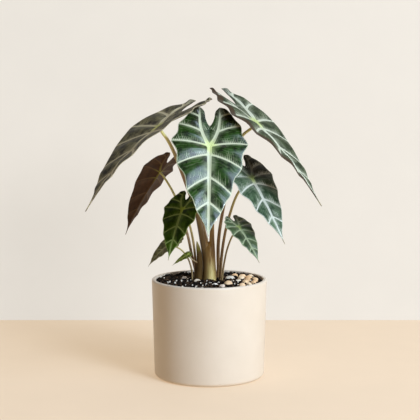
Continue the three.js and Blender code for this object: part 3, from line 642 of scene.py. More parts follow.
# The sheath and the sprout: the papery dark base of an old leaf, pressed to the left of the trunk, and
# the tightly rolled new leaf that pushes up out of it, olive green and paler at its tip.
SHEATH = [
    (-13.3, -3, 103, 4.2), (-13.1, -3, 118, 4.3), (-11.7, -3, 134, 3.9), (-12.2, -3, 149, 3.2),
    (-12.8, -3, 154, 2.5),
]
SPROUT = [
    (-12.4, -3, 147, 2.6), (-12.5, -3, 149.4, 2.8), (-13, -3, 154, 2.7), (-14.1, -3, 160, 1.8),
    (-15.1, -3, 165, 0.4),
]
SHEATH_STEP, SHEATH_SIDES = 2, 40
SPROUT_STEP, SPROUT_SIDES = 1.5, 32

# A dried sheath is thin, dull and olive-brown, split into fine upright fibres.
sheath_skin, tree, place = new_material("dry_papery_sheath", 0.7, ior=1.2)
fibre = upright_fibres(tree, place, width=1.4 * MM, squeeze=0.08, detail=3)
papery = add_node(
    tree, "ShaderNodeMix", {0: fibre, 6: linear("#2d1e0c"), 7: linear("#6d5228")}, data_type="RGBA"
)
split_fibres = add_node(tree, "ShaderNodeBump", {"Height": fibre, "Strength": 0.6, "Distance": 0.4 * MM})
give_finish(sheath_skin, papery.outputs[2], split_fibres)
sheath_run = smooth_run(SHEATH, SHEATH_STEP)
sheath = swept("old_leaf_sheath", sheath_run, sheath_skin, SHEATH_SIDES, RIBS, RIB_RELIEF)
on_body(sheath, "sheath_skin", "sheath_left")

# A new leaf is thin-skinned and softly shining. It comes out of the sheath brown, and ends pale.
sprout_skin, tree, place = new_material("rolled_new_leaf", 0.45, ior=1.25)
vein = upright_fibres(tree, place, width=1.5 * MM, squeeze=0.2, detail=2)
along = add_node(tree, "ShaderNodeAttribute", attribute_name="along")
ripening = add_node(
    tree, "ShaderNodeMath", {0: vein, 1: 0.5, 2: along.outputs["Fac"]}, operation="MULTIPLY_ADD"
)
olive = add_node(tree, "ShaderNodeMapRange", {"Value": ripening, "From Min": 0.35, "From Max": 0.7})
budding = add_node(
    tree, "ShaderNodeMix", {0: olive, 6: linear("#3f3214"), 7: linear("#6b5f21")}, data_type="RGBA"
)
pale = add_node(tree, "ShaderNodeMapRange", {"Value": ripening, "From Min": 0.75, "From Max": 1.25})
tipped = add_node(
    tree, "ShaderNodeMix", {0: pale, 6: budding.outputs[2], 7: linear("#958652")}, data_type="RGBA"
)
rolled = add_node(tree, "ShaderNodeBump", {"Height": vein, "Strength": 0.3, "Distance": 0.3 * MM})
give_finish(sprout_skin, tipped.outputs[2], rolled)
sprout_run = smooth_run(SPROUT, SPROUT_STEP)
sprout = swept("rolled_sprout", sprout_run, sprout_skin, SPROUT_SIDES, RIBS, RIB_RELIEF)
on_body(sprout, "leaf_olive", "sprout")

# The leaf stalks: round, firm and waxy, each the upper part of the leaf base that it rises from. They
# lean out of the soil, or carry on from a limb of the stem, and meet their blades from below.
JOIN = 0.3
STALKS = {
    "left_high": {
        "start": STEM_LEFT_LIMB[-1], "run": [(-24.4, -7, 227.5), (-41.5, -20, 273), (-49, -30, 289)],
        "head": 1.7,
    },
    "front": {
        "start": STEM_RIGHT_LIMB[-1], "run": [(3.4, -11, 215), (2.2, -25, 250), (1, -43, 276)], "head": 1.7,
    },
    "right_high": {
        "run": [
            (11.4, 7, 100), (11.4, 7, 121), (11, 5.5, 161), (15.9, 1, 199), (28, -6.5, 255),
            (38.5, -13, 292),
        ],
        "foot": 2.4, "head": 1.7,
    },
    "right_mid": {
        "run": [(13.2, -4.5, 100), (13.2, -4.5, 121), (16.9, -6, 163), (24.2, -10, 197), (35, -16.5, 226)],
        "foot": 2.1, "head": 1.4,
    },
    "right_low": {
        "run": [
            (15.6, -10.5, 103), (15.6, -10.5, 121), (18.5, -13, 143), (22, -17, 159), (27.5, -24, 174),
        ],
        "foot": 1.3, "head": 1,
    },
    "left_mid": {
        "run": [(-15.8, 10, 100), (-15.8, 10, 121), (-21.3, 11.5, 145), (-27, 14, 172), (-42.3, 20.5, 218)],
        "foot": 2.1, "head": 1.3,
    },
    "left_low": {
        "run": [
            (-17, 4, 100), (-17, 4, 121), (-17.2, 3.4, 142), (-19.2, -2, 163), (-23, -14, 184),
            (-27.4, -28, 201),
        ],
        "foot": 1.9, "head": 1.2,
    },
    "left_back": {
        "run": [
            (-20.6, -0.8, 103), (-20.6, -0.8, 120), (-21.6, -1, 130), (-26, -2.5, 144), (-34, -6, 155),
        ],
        "foot": 1.2, "head": 0.9,
    },
    "left_tiny": {
        "run": [(-15, -4.4, 139.4), (-16, -5, 140), (-19.6, -6.4, 142.5)], "foot": 0.9, "head": 0.7,
    },
}
STALK_TAPER = 0.7
STALK_LEAD = 4
STALK_STEP = 2.5
STALK_SIDES = 24
HEAD_SUNK = 0.3

# A blade hangs from its junction. heading, drop and roll turn it, bend curls its midrib down, fold
# raises its halves, arch rounds them over, twist turns it from junction to tip, and lobe and point
# stretch and narrow its rear lobes.
BLADES = {
    "front": {
        "junction": (0.3, -60, 283), "heading": -91, "drop": 55, "roll": -7, "length": 122, "width": 89,
        "bend": 4, "fold": 5, "arch": 0.05, "twist": -9, "lobe": 0.86, "point": 0, "thick": 0.9,
    },
    "right_high": {
        "junction": (55, -20, 309), "heading": -39, "drop": 37, "roll": -9, "length": 134, "width": 93,
        "bend": 14, "fold": 5, "arch": 0.05, "twist": -13, "lobe": 1.05, "point": 0.7, "thick": 0.9,
    },
    "left_high": {
        "junction": (-58.5, -44, 305), "heading": 224, "drop": 28, "roll": 12, "length": 146, "width": 118,
        "bend": 21, "fold": 4, "arch": -0.03, "twist": 13, "lobe": 1.03, "point": 0.8, "thick": 0.9,
    },
    "right_mid": {
        "junction": (50, -25, 243.5), "heading": -50, "drop": 48, "roll": 3, "length": 93, "width": 67,
        "bend": 7, "fold": 6, "arch": 0.1, "twist": -1, "lobe": 0.73, "point": 0.2, "thick": 0.8,
    },
    "left_mid": {
        "junction": (-61, 30, 246), "heading": 162, "drop": 52, "roll": 15, "length": 91, "width": 67,
        "bend": 17, "fold": 13, "arch": 0.09, "twist": 2, "lobe": 0.64, "point": 0.3, "thick": 0.8,
    },
    "left_low": {
        "junction": (-31.5, -45, 208), "heading": 240, "drop": 54, "roll": 5, "length": 65, "width": 53,
        "bend": 11, "fold": 5, "arch": 0.04, "twist": -7, "lobe": 0.8, "point": 0, "thick": 0.8,
    },
    "right_low": {
        "junction": (35, -35, 186), "heading": -53, "drop": 38, "roll": 4, "length": 54, "width": 37,
        "bend": 14, "fold": 5, "arch": 0.04, "twist": 2, "lobe": 0.74, "point": 0, "thick": 0.8,
    },
    "left_back": {
        "junction": (-45, -12, 164.5), "heading": 201, "drop": 32, "roll": -18, "length": 41, "width": 30,
        "bend": 24, "fold": 6, "arch": 0.04, "twist": 0, "lobe": 0.7, "point": 0, "thick": 0.7,
    },
    "left_tiny": {
        "junction": (-25, -9, 149.5), "heading": 200, "drop": 25, "roll": -28, "length": 24, "width": 11,
        "bend": 15, "fold": 6, "arch": 0, "twist": 0, "lobe": 0.4, "point": 0, "thick": 0.7,
    },
}
RIB_DEPTH = 1.1
RIB_FULL_LENGTH = 110


def rib_depth(blade):
    return RIB_DEPTH * min(1, blade["length"] / RIB_FULL_LENGTH)


def blade_axes(blade):
    """Directions along the midrib, across the blade and out of its upper face."""
    heading, drop, roll = (math.radians(blade[turn]) for turn in ("heading", "drop", "roll"))
    along = np.array([
        math.cos(heading) * math.cos(drop), math.sin(heading) * math.cos(drop), -math.sin(drop)
    ])
    level = np.array([-math.sin(heading), math.cos(heading), 0])
    over = np.cross(along, level)
    across = level * math.cos(roll) + over * math.sin(roll)
    return along, across, over * math.cos(roll) - level * math.sin(roll)


# Stalk skin is smooth and waxy: warm brown with fine darker streaks, going olive near the blade.
def stalk_skin(name, brown, streaky, olive, olive_from):
    material, tree, place = new_material(name, 0.38)
    streak = upright_fibres(tree, place, width=1.6 * MM, squeeze=0.1, detail=3)
    bark = add_node(
        tree, "ShaderNodeMix", {0: streak, 6: linear(streaky), 7: linear(brown)}, data_type="RGBA"
    )
    along = add_node(tree, "ShaderNodeAttribute", attribute_name="along")
    upper = add_node(
        tree, "ShaderNodeMapRange",
        {"Value": along.outputs["Fac"], "From Min": olive_from, "From Max": 1},
        interpolation_type="SMOOTHSTEP",
    )
    colour = add_node(
        tree, "ShaderNodeMix", {0: upper, 6: bark.outputs[2], 7: linear(olive)}, data_type="RGBA"
    )
    streaks = add_node(tree, "ShaderNodeBump", {"Height": streak, "Strength": 0.25, "Distance": 0.3 * MM})
    give_finish(material, colour.outputs[2], streaks)
    return material


SLENDER_UNDER = 2
brown_stalk = stalk_skin("waxy_brown_stalk", "#b39162", "#6f5530", "#dcd488", 0.4)
slender_stalk = stalk_skin("waxy_slender_stalk", "#ac9263", "#785d35", "#a89c61", 0.3)
for name, stalk in STALKS.items():
    blade = BLADES[name]
    up = blade_axes(blade)[2]
    # The head is sunk into the rib under the blade's junction, so that the two are one.
    seat = np.array(blade["junction"]) - up * (blade["thick"] / 2 + rib_depth(blade) * HEAD_SUNK)
    places = [*stalk["run"], tuple(seat - up * STALK_LEAD * stalk["head"]), tuple(seat)]
    foot = stalk.get("foot")
    if "start" in stalk:
        x, y, z, foot = stalk["start"]
        places = [(x, y, z - 2 * JOIN), *places]
    run = smooth_run(places, STALK_STEP)
    reach = np.r_[0, np.cumsum(np.linalg.norm(np.diff(run, axis=0), axis=1))]
    radii = foot + (stalk["head"] - foot) * (reach / reach[-1]) ** STALK_TAPER
    skin = slender_stalk if foot < SLENDER_UNDER else brown_stalk
    piece = swept("leaf_stalk_" + name, np.c_[run, radii], skin, STALK_SIDES)
    on_body(piece, "stalk_skin", "stalk_" + name)

# The leaf blades: leathery, arrow-shaped and quilted, with pale veins that run from the junction and
# the midrib to a scalloped margin. Each grew in one with its stalk, and hangs from it by its junction.
# The flat outline of one half, in parts of the blade's length, has the junction at 0,0 and the tip at
# 0,1. Each side vein leaves the spine (midrib, then lobe vein) at its root and ends at the margin.
VEIN_ROOTS = [0, 0.2, 0.4, 0.665, 0.91, 1, 1.42, 1.78, 2]
LOBE_TIP = (0.105, -0.515)
VEIN_ENDS = [
    (0, 1), (0.045, 0.83), (0.13, 0.7), (0.235, 0.5), (0.345, 0.225), (0.41, -0.04), (0.335, -0.27),
    (0.225, -0.43), LOBE_TIP,
]
WIDEST = 0.41
DRAWN_IN = [0.013, 0, 0.008, 0.028, 0.026, 0.026, 0.012, -0.012]
LOBE_VEIN = np.array([(0, 0), (0.135, -0.2), LOBE_TIP])
NOTCH_EDGE = [(0, -0.27), (0.018, -0.284), (0.046, -0.36), (0.06, -0.455), LOBE_TIP]
VEIN_BOW = 0.1
QUILT_HEIGHT, QUILT_CREST, QUILT_LOSS = 0.02, 0.6, 0.35
QUILTS_FULL_FROM = 2.3
# Columns of corners between two side veins stand close by the veins, and rows close by the spine.
BETWEENS = np.array([0, 0.02, 0.05, 0.1, 0.18, 0.28, 0.4, 0.5, 0.6, 0.72, 0.82, 0.9, 0.95, 0.98])
OUTS = np.array([0, 0.015, 0.035, 0.065, 0.11, 0.17, 0.24, 0.31, 0.38, 0.45, 0.52, 0.59, 0.66, 0.73, 0.79,
                 0.85, 0.9, 0.94, 0.97, 0.99, 1])
INWARDS = np.array([0, 0.05, 0.12, 0.22, 0.34, 0.47, 0.6, 0.73, 0.85, 0.94, 1])
# The last stretch of the tip is too narrow for columns of its own.
TIP_FROM = 0.25
# Half widths of the veins on a large blade of this length, in millimetres, at the root and at the end.
# Smaller blades have thinner veins, though not quite in proportion.
LARGE_LENGTH = 122
VEIN_GROWTH = 0.7
MIDRIB_WIDTH, LOBE_WIDTH, SIDE_WIDTH = (2.2, 0.8), (1.9, 0.8), (1.05, 0.6)
LINE_STEPS = 24
FIRST_SIDE_VEIN = 2


def spline(points, at):
    """Places on the even Catmull-Rom curve through the points, from 0 to 1 along it."""
    points = np.array(points, float)
    place = np.asarray(at) * (len(points) - 1)
    k = np.minimum(place.astype(int), len(points) - 2)
    t = (place - k)[:, None]
    before, start, end, after = (points[np.clip(k + step, 0, len(points) - 1)] for step in (-1, 0, 1, 2))
    leave, arrive = (end - before) / 2, (after - start) / 2
    return (
        (2 * start - 2 * end + leave + arrive) * t**3
        + (3 * end - 3 * start - 2 * leave - arrive) * t**2
        + leave * t
        + start
    )


def bezier(start, bow, end, t):
    return (1 - t) ** 2 * start + 2 * t * (1 - t) * bow + t**2 * end


def margin_points():
    """The vein ends, and between each two a point where the margin draws in."""
    points = []
    for k, end in enumerate(VEIN_ENDS):
        points.append(end)
        if k + 1 < len(VEIN_ENDS):
            after = VEIN_ENDS[k + 1]
            inward = np.array([after[1] - end[1], end[0] - after[0]])
            inward *= -np.sign(inward[0]) / np.linalg.norm(inward)
            points.append(tuple((np.array(end) + after) / 2 + inward * DRAWN_IN[k]))
    return points


MARGIN = margin_points()


def spine(root):
    """Places on the midrib for roots up to 1, and on the lobe vein beyond."""
    root = np.asarray(root, float)[:, None]
    on_lobe = bezier(*LOBE_VEIN, np.clip(root - 1, 0, 1))
    return np.where(root <= 1, np.hstack([0 * root, 1 - root]), on_lobe)


def outer_places(at, outs):
    """Flat places from the spine to the margin, in columns along side vein numbers."""
    start = spine(np.interp(at, range(len(VEIN_ROOTS)), VEIN_ROOTS))[:, None]
    end = spline(MARGIN, at / (len(VEIN_ENDS) - 1))[:, None]
    bow = (start + end) / 2
    bow[..., 1] -= VEIN_BOW * np.linalg.norm(end - start, axis=-1)
    return bezier(start, bow, end, outs[None, :, None])


def inner_places(at, inwards):
    """Flat places from the lobe vein to the centre line, or to the edge of the notch."""
    along = np.interp(at, range(len(VEIN_ROOTS)), VEIN_ROOTS) - 1
    start = spine(along + 1)[:, None]
    centre = np.c_[0 * along, NOTCH_EDGE[0][1] * along * 2]
    notch = spline(NOTCH_EDGE, np.clip(along * 2 - 1, 0, 1))
    end = np.where(along[:, None] < 0.5, centre, notch)[:, None]
    return start + (end - start) * inwards[None, :, None]


def line_distance(points, line):
    """Distance of each flat point from a line of places, and how far along the line that is."""
    best, along = np.full(len(points), 1e9), np.zeros(len(points))
    for n, (a, b) in enumerate(zip(line, line[1:])):
        span = b - a
        t = np.clip((points - a) @ span / max(span @ span, 1e-12), 0, 1)
        gap = np.linalg.norm(points - a - t[:, None] * span, axis=1)
        along = np.where(gap < best, (n + t) / (len(line) - 1), along)
        best = np.minimum(best, gap)
    return best, along


def blade_sheet(blade):
    """Flat corners, the swelling at each, faces, and the places between the veins of each face."""
    outer_at = np.r_[(np.arange(len(VEIN_ROOTS) - 1)[:, None] + BETWEENS).ravel(), len(VEIN_ROOTS) - 1]
    outer_at = outer_at[(outer_at == 0) | (outer_at > TIP_FROM)]
    inner_at = outer_at[outer_at >= VEIN_ROOTS.index(1)]
    rise = 1 - (1 - np.minimum(OUTS / QUILT_CREST, 1)) ** 2
    fall = 1 - QUILT_LOSS * np.maximum(0, (OUTS - QUILT_CREST) / (1 - QUILT_CREST)) ** 2
    grown = np.clip(outer_at / QUILTS_FULL_FROM, 0, 1) ** 2
    swell = (grown * np.sin(math.pi * (outer_at % 1)) ** 2)[:, None] * (rise * fall)
    patches = [
        (outer_places(outer_at, OUTS), swell, outer_at, 1),
        (inner_places(inner_at, INWARDS), np.zeros((len(inner_at), len(INWARDS))), inner_at, -1),
    ]
    known, corners, swells, faces, between = {}, [], [], [], []
    for side in (1, -1):
        for flat, swollen, at, hand in patches:
            number = np.zeros(flat.shape[:2], int)
            far = hand * np.linalg.norm(flat - flat[:, :1], axis=-1)
            for c in range(flat.shape[0]):
                for r in range(flat.shape[1]):
                    x, y = side * flat[c, r, 0], flat[c, r, 1]
                    key = (round(x * 1e5), round(y * 1e5))
                    if key not in known:
                        known[key] = len(corners)
                        corners.append((x, y))
                        swells.append(swollen[c, r])
                    number[c, r] = known[key]
            for c in range(flat.shape[0] - 1):
                for r in range(flat.shape[1] - 1):
                    ring = [(c, r), (c + 1, r), (c + 1, r + 1), (c, r + 1)]
                    if side * hand > 0:
                        ring.reverse()
                    ring = [p for n, p in enumerate(ring) if number[p] != number[ring[n - 1]]]
                    if len(ring) > 2:
                        faces.append([int(number[p]) for p in ring])
                        between.append([(at[p[0]], far[p] * blade["length"] * MM) for p in ring])
    return np.array(corners), np.array(swells), faces, between


def flat_mm(blade, flat):
    """Flat places in millimetres, where the rear lobes have their own length and narrow to a point."""
    x, y = flat.T
    behind = np.minimum(y, 0)
    pointed = blade["point"] * (behind / LOBE_TIP[1]) ** 4
    x = np.sign(x) * (abs(x) + (LOBE_TIP[0] - abs(x)) * pointed) * blade["width"] / 2 / WIDEST
    return np.c_[x, (y - behind + behind * blade["lobe"]) * blade["length"]]


def shaped(blade, x, y, raised):
    """Takes places on the flat blade, in millimetres, into the folded, bent and twisted one."""
    along, across, up = blade_axes(blade)
    length = blade["length"]
    rise = math.tan(math.radians(blade["fold"])) * abs(x) - blade["arch"] * x**2 / (blade["width"] / 2)
    rise += raised
    twist = math.radians(blade["twist"]) * y / length
    sideways = x * np.cos(twist) - rise * np.sin(twist)
    lift = x * np.sin(twist) + rise * np.cos(twist)
    curl = math.radians(blade["bend"]) / length
    forward = np.sin(curl * y) / curl + lift * np.sin(curl * y)
    upward = (np.cos(curl * y) - 1) / curl + lift * np.cos(curl * y)
    moved = np.outer(forward, along) + np.outer(sideways, across) + np.outer(upward, up)
    return blade["junction"] + moved


def vein_lines(blade):
    """Flat lines of all the veins in millimetres, with their half widths at the root and the end."""
    grow = (blade["length"] / LARGE_LENGTH) ** VEIN_GROWTH
    steps = np.linspace(0, 1, LINE_STEPS)
    lines = [(spine(1 - steps), MIDRIB_WIDTH)]
    for side in (1, -1):
        lines.append((spine(1 + steps) * (side, 1), LOBE_WIDTH))
        for k in range(FIRST_SIDE_VEIN, len(VEIN_ROOTS) - 1):
            lines.append((outer_places(np.array([k]), steps)[0] * (side, 1), SIDE_WIDTH))
    for line, widths in lines:
        yield flat_mm(blade, line), np.array(widths) * grow


def edge_distance(blade, places, edge, steps):
    """Distance of each flat place, in millimetres, from one edge of the blade on either side."""
    lines = [flat_mm(blade, spline(edge, np.linspace(0, 1, steps)) * (side, 1)) for side in (1, -1)]
    return np.min([line_distance(places, line)[0] for line in lines], axis=0)


# Upper leaf skin: leathery and softly shining, darker between the veins. Painted shade and shadow darken
# the tips of the rear lobes and fade their veins, and on one blade the half that turns from the light. The
# veins are pale bands, darkened by painted shade in a groove along each side of the middle, and yellow at
# the junction; a pale haze round them is partly their own colour and partly painted sheen. Faint lines run
# beside each side vein, short ones comb out of its upper side, and a pale thread edges the margin. The
# lines of the real leaf are finer; they are drawn coarse enough to show. On one blade the underside's brown
# is painted along a margin where the real margin curls up; the blade itself is not curled.
ARCS = 8
STROKE_SPACING = 2.5 * MM
STROKE_SLANT = 5 * MM
LINES_PER_PATCH = 40
# SHADED_FLESH is the dark of the painted shade and shadow on the rear lobes.
SHADED_FLESH, CURLED_EDGE, DRY_TIP = "#1b160e", "#3c2a19", "#857743"


def fine_lines(tree, across, amount, sway, patch):
    """Soft, swaying lines at even steps across a patch of leaf, and a chance number for each."""
    count = add_node(tree, "ShaderNodeMath", {0: across, 1: amount, 2: sway}, operation="MULTIPLY_ADD")
    beside = add_node(tree, "ShaderNodeMath", {0: count, 1: 0.5}, operation="PINGPONG")
    line = add_node(
        tree, "ShaderNodeMapRange", {"Value": beside, "From Min": 0.28, "From Max": 0.03},
        interpolation_type="SMOOTHSTEP",
    )
    number = add_node(tree, "ShaderNodeMath", {0: count}, operation="ROUND")
    number = add_node(
        tree, "ShaderNodeMath", {0: patch, 1: LINES_PER_PATCH, 2: number}, operation="MULTIPLY_ADD"
    )
    return line, add_node(tree, "ShaderNodeTexWhiteNoise", {"W": number}, noise_dimensions="1D")


def upper_skin(
    name, green, deep, vein, heart, gloss, ior=1.45, lines=1, wide=1, painted_shade_from=6.2, painted_shade_side=0,
    curled_side=0,
):
    material, tree, place = new_material(name, gloss, ior)
    cloud = add_node(tree, "ShaderNodeTexNoise", {"Vector": place, "Scale": 1 / (9 * MM), "Detail": 4})
    vein_gap, margin_gap, from_heart, across = (
        add_node(tree, "ShaderNodeAttribute", attribute_name=measure).outputs["Fac"]
        for measure in ("vein", "margin", "heart", "across")
    )
    # Along the leaf the side veins are numbered from 0 at the tip; outward is metres from the spine.
    on_leaf = add_node(tree, "ShaderNodeUVMap", uv_map="between_veins")
    number, outward = add_node(tree, "ShaderNodeSeparateXYZ", {0: on_leaf}).outputs[:2]
    part, patch, out = (
        add_node(tree, "ShaderNodeMath", {0: value}, operation=operation)
        for value, operation in ((number, "FRACT"), (number, "FLOOR"), (outward, "ABSOLUTE"))
    )
    sway, painted_shade_half, curled_half = (
        add_node(tree, "ShaderNodeMath", {0: value, 1: factor}, operation="MULTIPLY")
        for value, factor in ((cloud, 2.2), (across, painted_shade_side), (across, curled_side))
    )
    # Painted shade in a groove: each vein's colour darkens along either side of its middle.
    off_painted_groove = add_node(tree, "ShaderNodeMath", {0: vein_gap, 1: 0.4}, operation="SUBTRACT")
    off_painted_groove = add_node(tree, "ShaderNodeMath", {0: off_painted_groove}, operation="ABSOLUTE")
    arc, arc_chance = fine_lines(tree, part, ARCS, sway, patch)
    slant = add_node(tree, "ShaderNodeMath", {0: part, 1: STROKE_SLANT, 2: out}, operation="MULTIPLY_ADD")
    stroke, stroke_chance = fine_lines(tree, slant, 1 / STROKE_SPACING, sway, patch)
    reach = add_node(tree, "ShaderNodeMapRange", {"Value": stroke_chance, "To Min": 0.12, "To Max": 0.6})

    # Each mask has what it follows, the two values between which that takes it from its first share
    # to its last, those shares, and how it goes between them.
    masks = {
        "cloudy": (cloud, 0.35, 0.65, 0, 1, "LINEAR"),
        "patchy": (cloud, 0.36, 0.6, 0.2, 1.2, "LINEAR"),
        # Painted shade and shadow: the rear lobe tips, and on one blade the half turned from the light, go
        # dark.
        "shaded": (number, painted_shade_from, painted_shade_from + 1.7, 0, 0.85, "SMOOTHSTEP"),
        "on dark side": (painted_shade_half, -7, 0, 0.15, 1, "LINEAR"),
        "arc seen": (arc_chance, 0.2, 1, 0, 0.13, "LINEAR"),
        "near vein": (part, reach, 0, 0, 0.75, "LINEAR"),
        "off spine": (out, 1 * MM, 6 * MM, 0, 1, "LINEAR"),
        # "relief" scales the vein's colour down in the groove: painted shade.
        "relief": (off_painted_groove, 0, 0.35, 0.72, 1.05, "LINEAR"),
        "near heart": (from_heart, 0.12, 0.02, 0, 1, "SMOOTHSTEP"),
        # The haze round the veins is partly their pale colour and partly painted sheen.
        "vein_haze_and_sheen": (vein_gap, 5.5 * wide, 1, 0, 0.22, "SMOOTHSTEP"),
        "off lobe tip": (number, painted_shade_from + 1.7, painted_shade_from + 0.6, 0.25, 1, "SMOOTHSTEP"),
        "thread": (margin_gap, 1.2, 0.3, 0, 0.75, "SMOOTHSTEP"),
        "off tip": (number, 0.4, 1.8, 0, 1, "LINEAR"),
        "on curled side": (curled_half, 0, 1, 0, 1, "LINEAR"),
        "curl": (margin_gap, 9.5, 7, 0, 0.92, "SMOOTHSTEP"),
        "near tip": (number, 0.6, 0.1, 0, 0.85, "SMOOTHSTEP"),
    }
    for label, (value, start, end, first, last, way) in masks.items():
        limits = {"From Min": start, "From Max": end, "To Min": first, "To Max": last}
        masks[label] = add_node(
            tree, "ShaderNodeMapRange", {"Value": value, **limits}, interpolation_type=way
        )
    shares = {
        "shaded": (masks["shaded"], masks["on dark side"]),
        "arc": (arc, masks["arc seen"], masks["patchy"]),
        "stroke": (stroke, masks["near vein"], masks["off spine"], masks["patchy"]),
        "vein_haze_and_sheen": (masks["vein_haze_and_sheen"], masks["patchy"]),
        "thread": (masks["thread"], masks["off tip"]),
        "curl": (masks["curl"], masks["on curled side"]),
    }
    for label, (share, *others) in shares.items():
        for other in others:
            share = add_node(tree, "ShaderNodeMath", {0: share, 1: other}, operation="MULTIPLY")
        masks[label] = share

    line = add_node(tree, "ShaderNodeMath", {0: masks["stroke"], 1: masks["arc"]}, operation="MAXIMUM")
    line = add_node(tree, "ShaderNodeMath", {0: line, 1: lines}, operation="MULTIPLY")
    feather = add_node(
        tree, "ShaderNodeMath", {0: masks["stroke"], 1: -0.5, 2: vein_gap}, operation="MULTIPLY_ADD"
    )
    band = add_node(
        tree, "ShaderNodeMapRange", {"Value": feather, "From Min": 1.7 * wide, "From Max": 0.8 * wide},
        interpolation_type="SMOOTHSTEP",
    )
    band = add_node(tree, "ShaderNodeMath", {0: band, 1: masks["vein_haze_and_sheen"]}, operation="MAXIMUM")
    band = add_node(tree, "ShaderNodeMath", {0: band, 1: masks["off lobe tip"]}, operation="MULTIPLY")
    yellowed = add_node(
        tree, "ShaderNodeMix",
        {0: masks["near heart"], 6: linear(vein), 7: linear(heart)}, data_type="RGBA",
    )
    vein_colour = add_node(
        tree, "ShaderNodeVectorMath", {0: yellowed.outputs[2], "Scale": masks["relief"]},
        operation="SCALE",
    )

    # From the flesh upwards, each layer covers the ones before it by its mask.
    layers = (
        (masks["cloudy"], linear(green)), (masks["shaded"], linear(SHADED_FLESH)), (line, linear(vein)),
        (band, vein_colour), (masks["thread"], linear(vein)), (masks["curl"], linear(CURLED_EDGE)),
        (masks["near tip"], linear(DRY_TIP)),
    )
    colour = linear(deep)
    for cover, layer in layers:
        mixed = add_node(tree, "ShaderNodeMix", {0: cover, 6: colour, 7: layer}, data_type="RGBA")
        colour = mixed.outputs[2]
    pores = add_node(tree, "ShaderNodeTexNoise", {"Vector": place, "Scale": 1 / (1.1 * MM), "Detail": 3})
    grain = add_node(tree, "ShaderNodeBump", {"Height": pores, "Strength": 0.12, "Distance": 0.2 * MM})
    puckers = add_node(
        tree, "ShaderNodeBump", {"Height": line, "Strength": 0.15, "Distance": -0.5 * MM, "Normal": grain}
    )
    give_finish(material, colour, puckers)
    return material


# Lower leaf skin: matt purple-brown with raised, lighter ribs that turn yellow-green at the junction.
def under_skin(name, flesh, blotch, rib, heart):
    material, tree, place = new_material(name, 0.6, ior=1.3)
    cloud = add_node(tree, "ShaderNodeTexNoise", {"Vector": place, "Scale": 1 / (7 * MM), "Detail": 4})
    near_heart, on_rib = (
        add_node(
            tree, "ShaderNodeMapRange",
            {"Value": add_node(tree, "ShaderNodeAttribute", attribute_name=measure).outputs["Fac"],
             "From Min": start, "From Max": full, "To Max": most},
            interpolation_type="SMOOTHSTEP",
        )
        for measure, start, full, most in (("heart", 0.22, 0.02, 1), ("vein", 1.4, 0.4, 0.55))
    )
    purple, rib_colour = (
        add_node(
            tree, "ShaderNodeMix", {0: share, 6: linear(start), 7: linear(end)}, data_type="RGBA"
        ).outputs[2]
        for share, start, end in ((cloud, blotch, flesh), (near_heart, rib, heart))
    )
    ribbed = add_node(tree, "ShaderNodeMix", {0: on_rib, 6: purple, 7: rib_colour}, data_type="RGBA")
    grain = add_node(tree, "ShaderNodeBump", {"Height": cloud, "Strength": 0.3, "Distance": 0.4 * MM})
    give_finish(material, ribbed.outputs[2], grain)
    return material


SUNK_VEIN = 0.25
EDGE_THINNING = 1.6
THINNEST = 0.55
MARGIN_STEPS = 160
OFF_VEINS = 8


def grown_blade(name, blade, upper, under):
    """The blade as one closed skin: sunk veins above, raised ribs below, thin at the margin."""
    flat, swollen, faces, between = blade_sheet(blade)
    flat = flat_mm(blade, flat)
    ratio, width = np.full(len(flat), float(OFF_VEINS)), np.zeros(len(flat))
    for line, (root_width, end_width) in vein_lines(blade):
        gap, along = line_distance(flat, line)
        here = root_width + (end_width - root_width) * along
        width = np.where(gap / here < ratio, here / MIDRIB_WIDTH[0], width)
        ratio = np.minimum(ratio, gap / here)
    margin_gap = edge_distance(blade, flat, MARGIN, MARGIN_STEPS)
    edge_gap = np.minimum(margin_gap, edge_distance(blade, flat, NOTCH_EDGE, LINE_STEPS))
    heart = np.linalg.norm(flat, axis=1) / blade["length"]
    crest = np.exp(-(ratio**2)) * width
    thin = THINNEST + (1 - THINNEST) * np.clip(edge_gap / EDGE_THINNING, 0, 1)
    thickness = (blade["thick"] - SUNK_VEIN * crest) * thin + rib_depth(blade) * crest
    top = QUILT_HEIGHT * blade["length"] * swollen + blade["thick"] / 2 * thin - SUNK_VEIN * crest
    places = np.vstack([shaped(blade, *flat.T, top), shaped(blade, *flat.T, top - thickness)])

    # The lower face is the upper one turned over, and a rim joins the two along the blade's edge.
    count = len(flat)
    below = [[corner + count for corner in reversed(face)] for face in faces]
    edges = {edge: None for face in faces for edge in zip(face, face[1:] + face[:1])}
    open_edges = [(start, end) for start, end in edges if (end, start) not in edges]
    rim = [[end, start, start + count, end + count] for start, end in open_edges]
    mark = {corner: place for face, marks in zip(faces, between) for corner, place in zip(face, marks)}
    below_marks = [marks[::-1] for marks in between]
    rim_marks = [[mark[end], mark[start], mark[start], mark[end]] for start, end in open_edges]

    mesh = bpy.data.meshes.new(name)
    mesh.from_pydata((places * MM).tolist(), [], faces + below + rim)
    measures = {"vein": ratio, "margin": margin_gap, "heart": heart, "across": flat[:, 0]}
    give_measures(mesh, **{measure: np.tile(values, 2) for measure, values in measures.items()})
    marks = np.vstack(between + below_marks + rim_marks)
    mesh.uv_layers.new(name="between_veins").data.foreach_set("uv", marks.ravel())
    mesh.materials.append(upper)
    mesh.materials.append(under)
    sides = [0] * len(faces) + [1] * len(below) + [0] * len(rim)
    mesh.polygons.foreach_set("material_index", sides)
    mesh.shade_smooth()
    return in_scene(name, mesh)


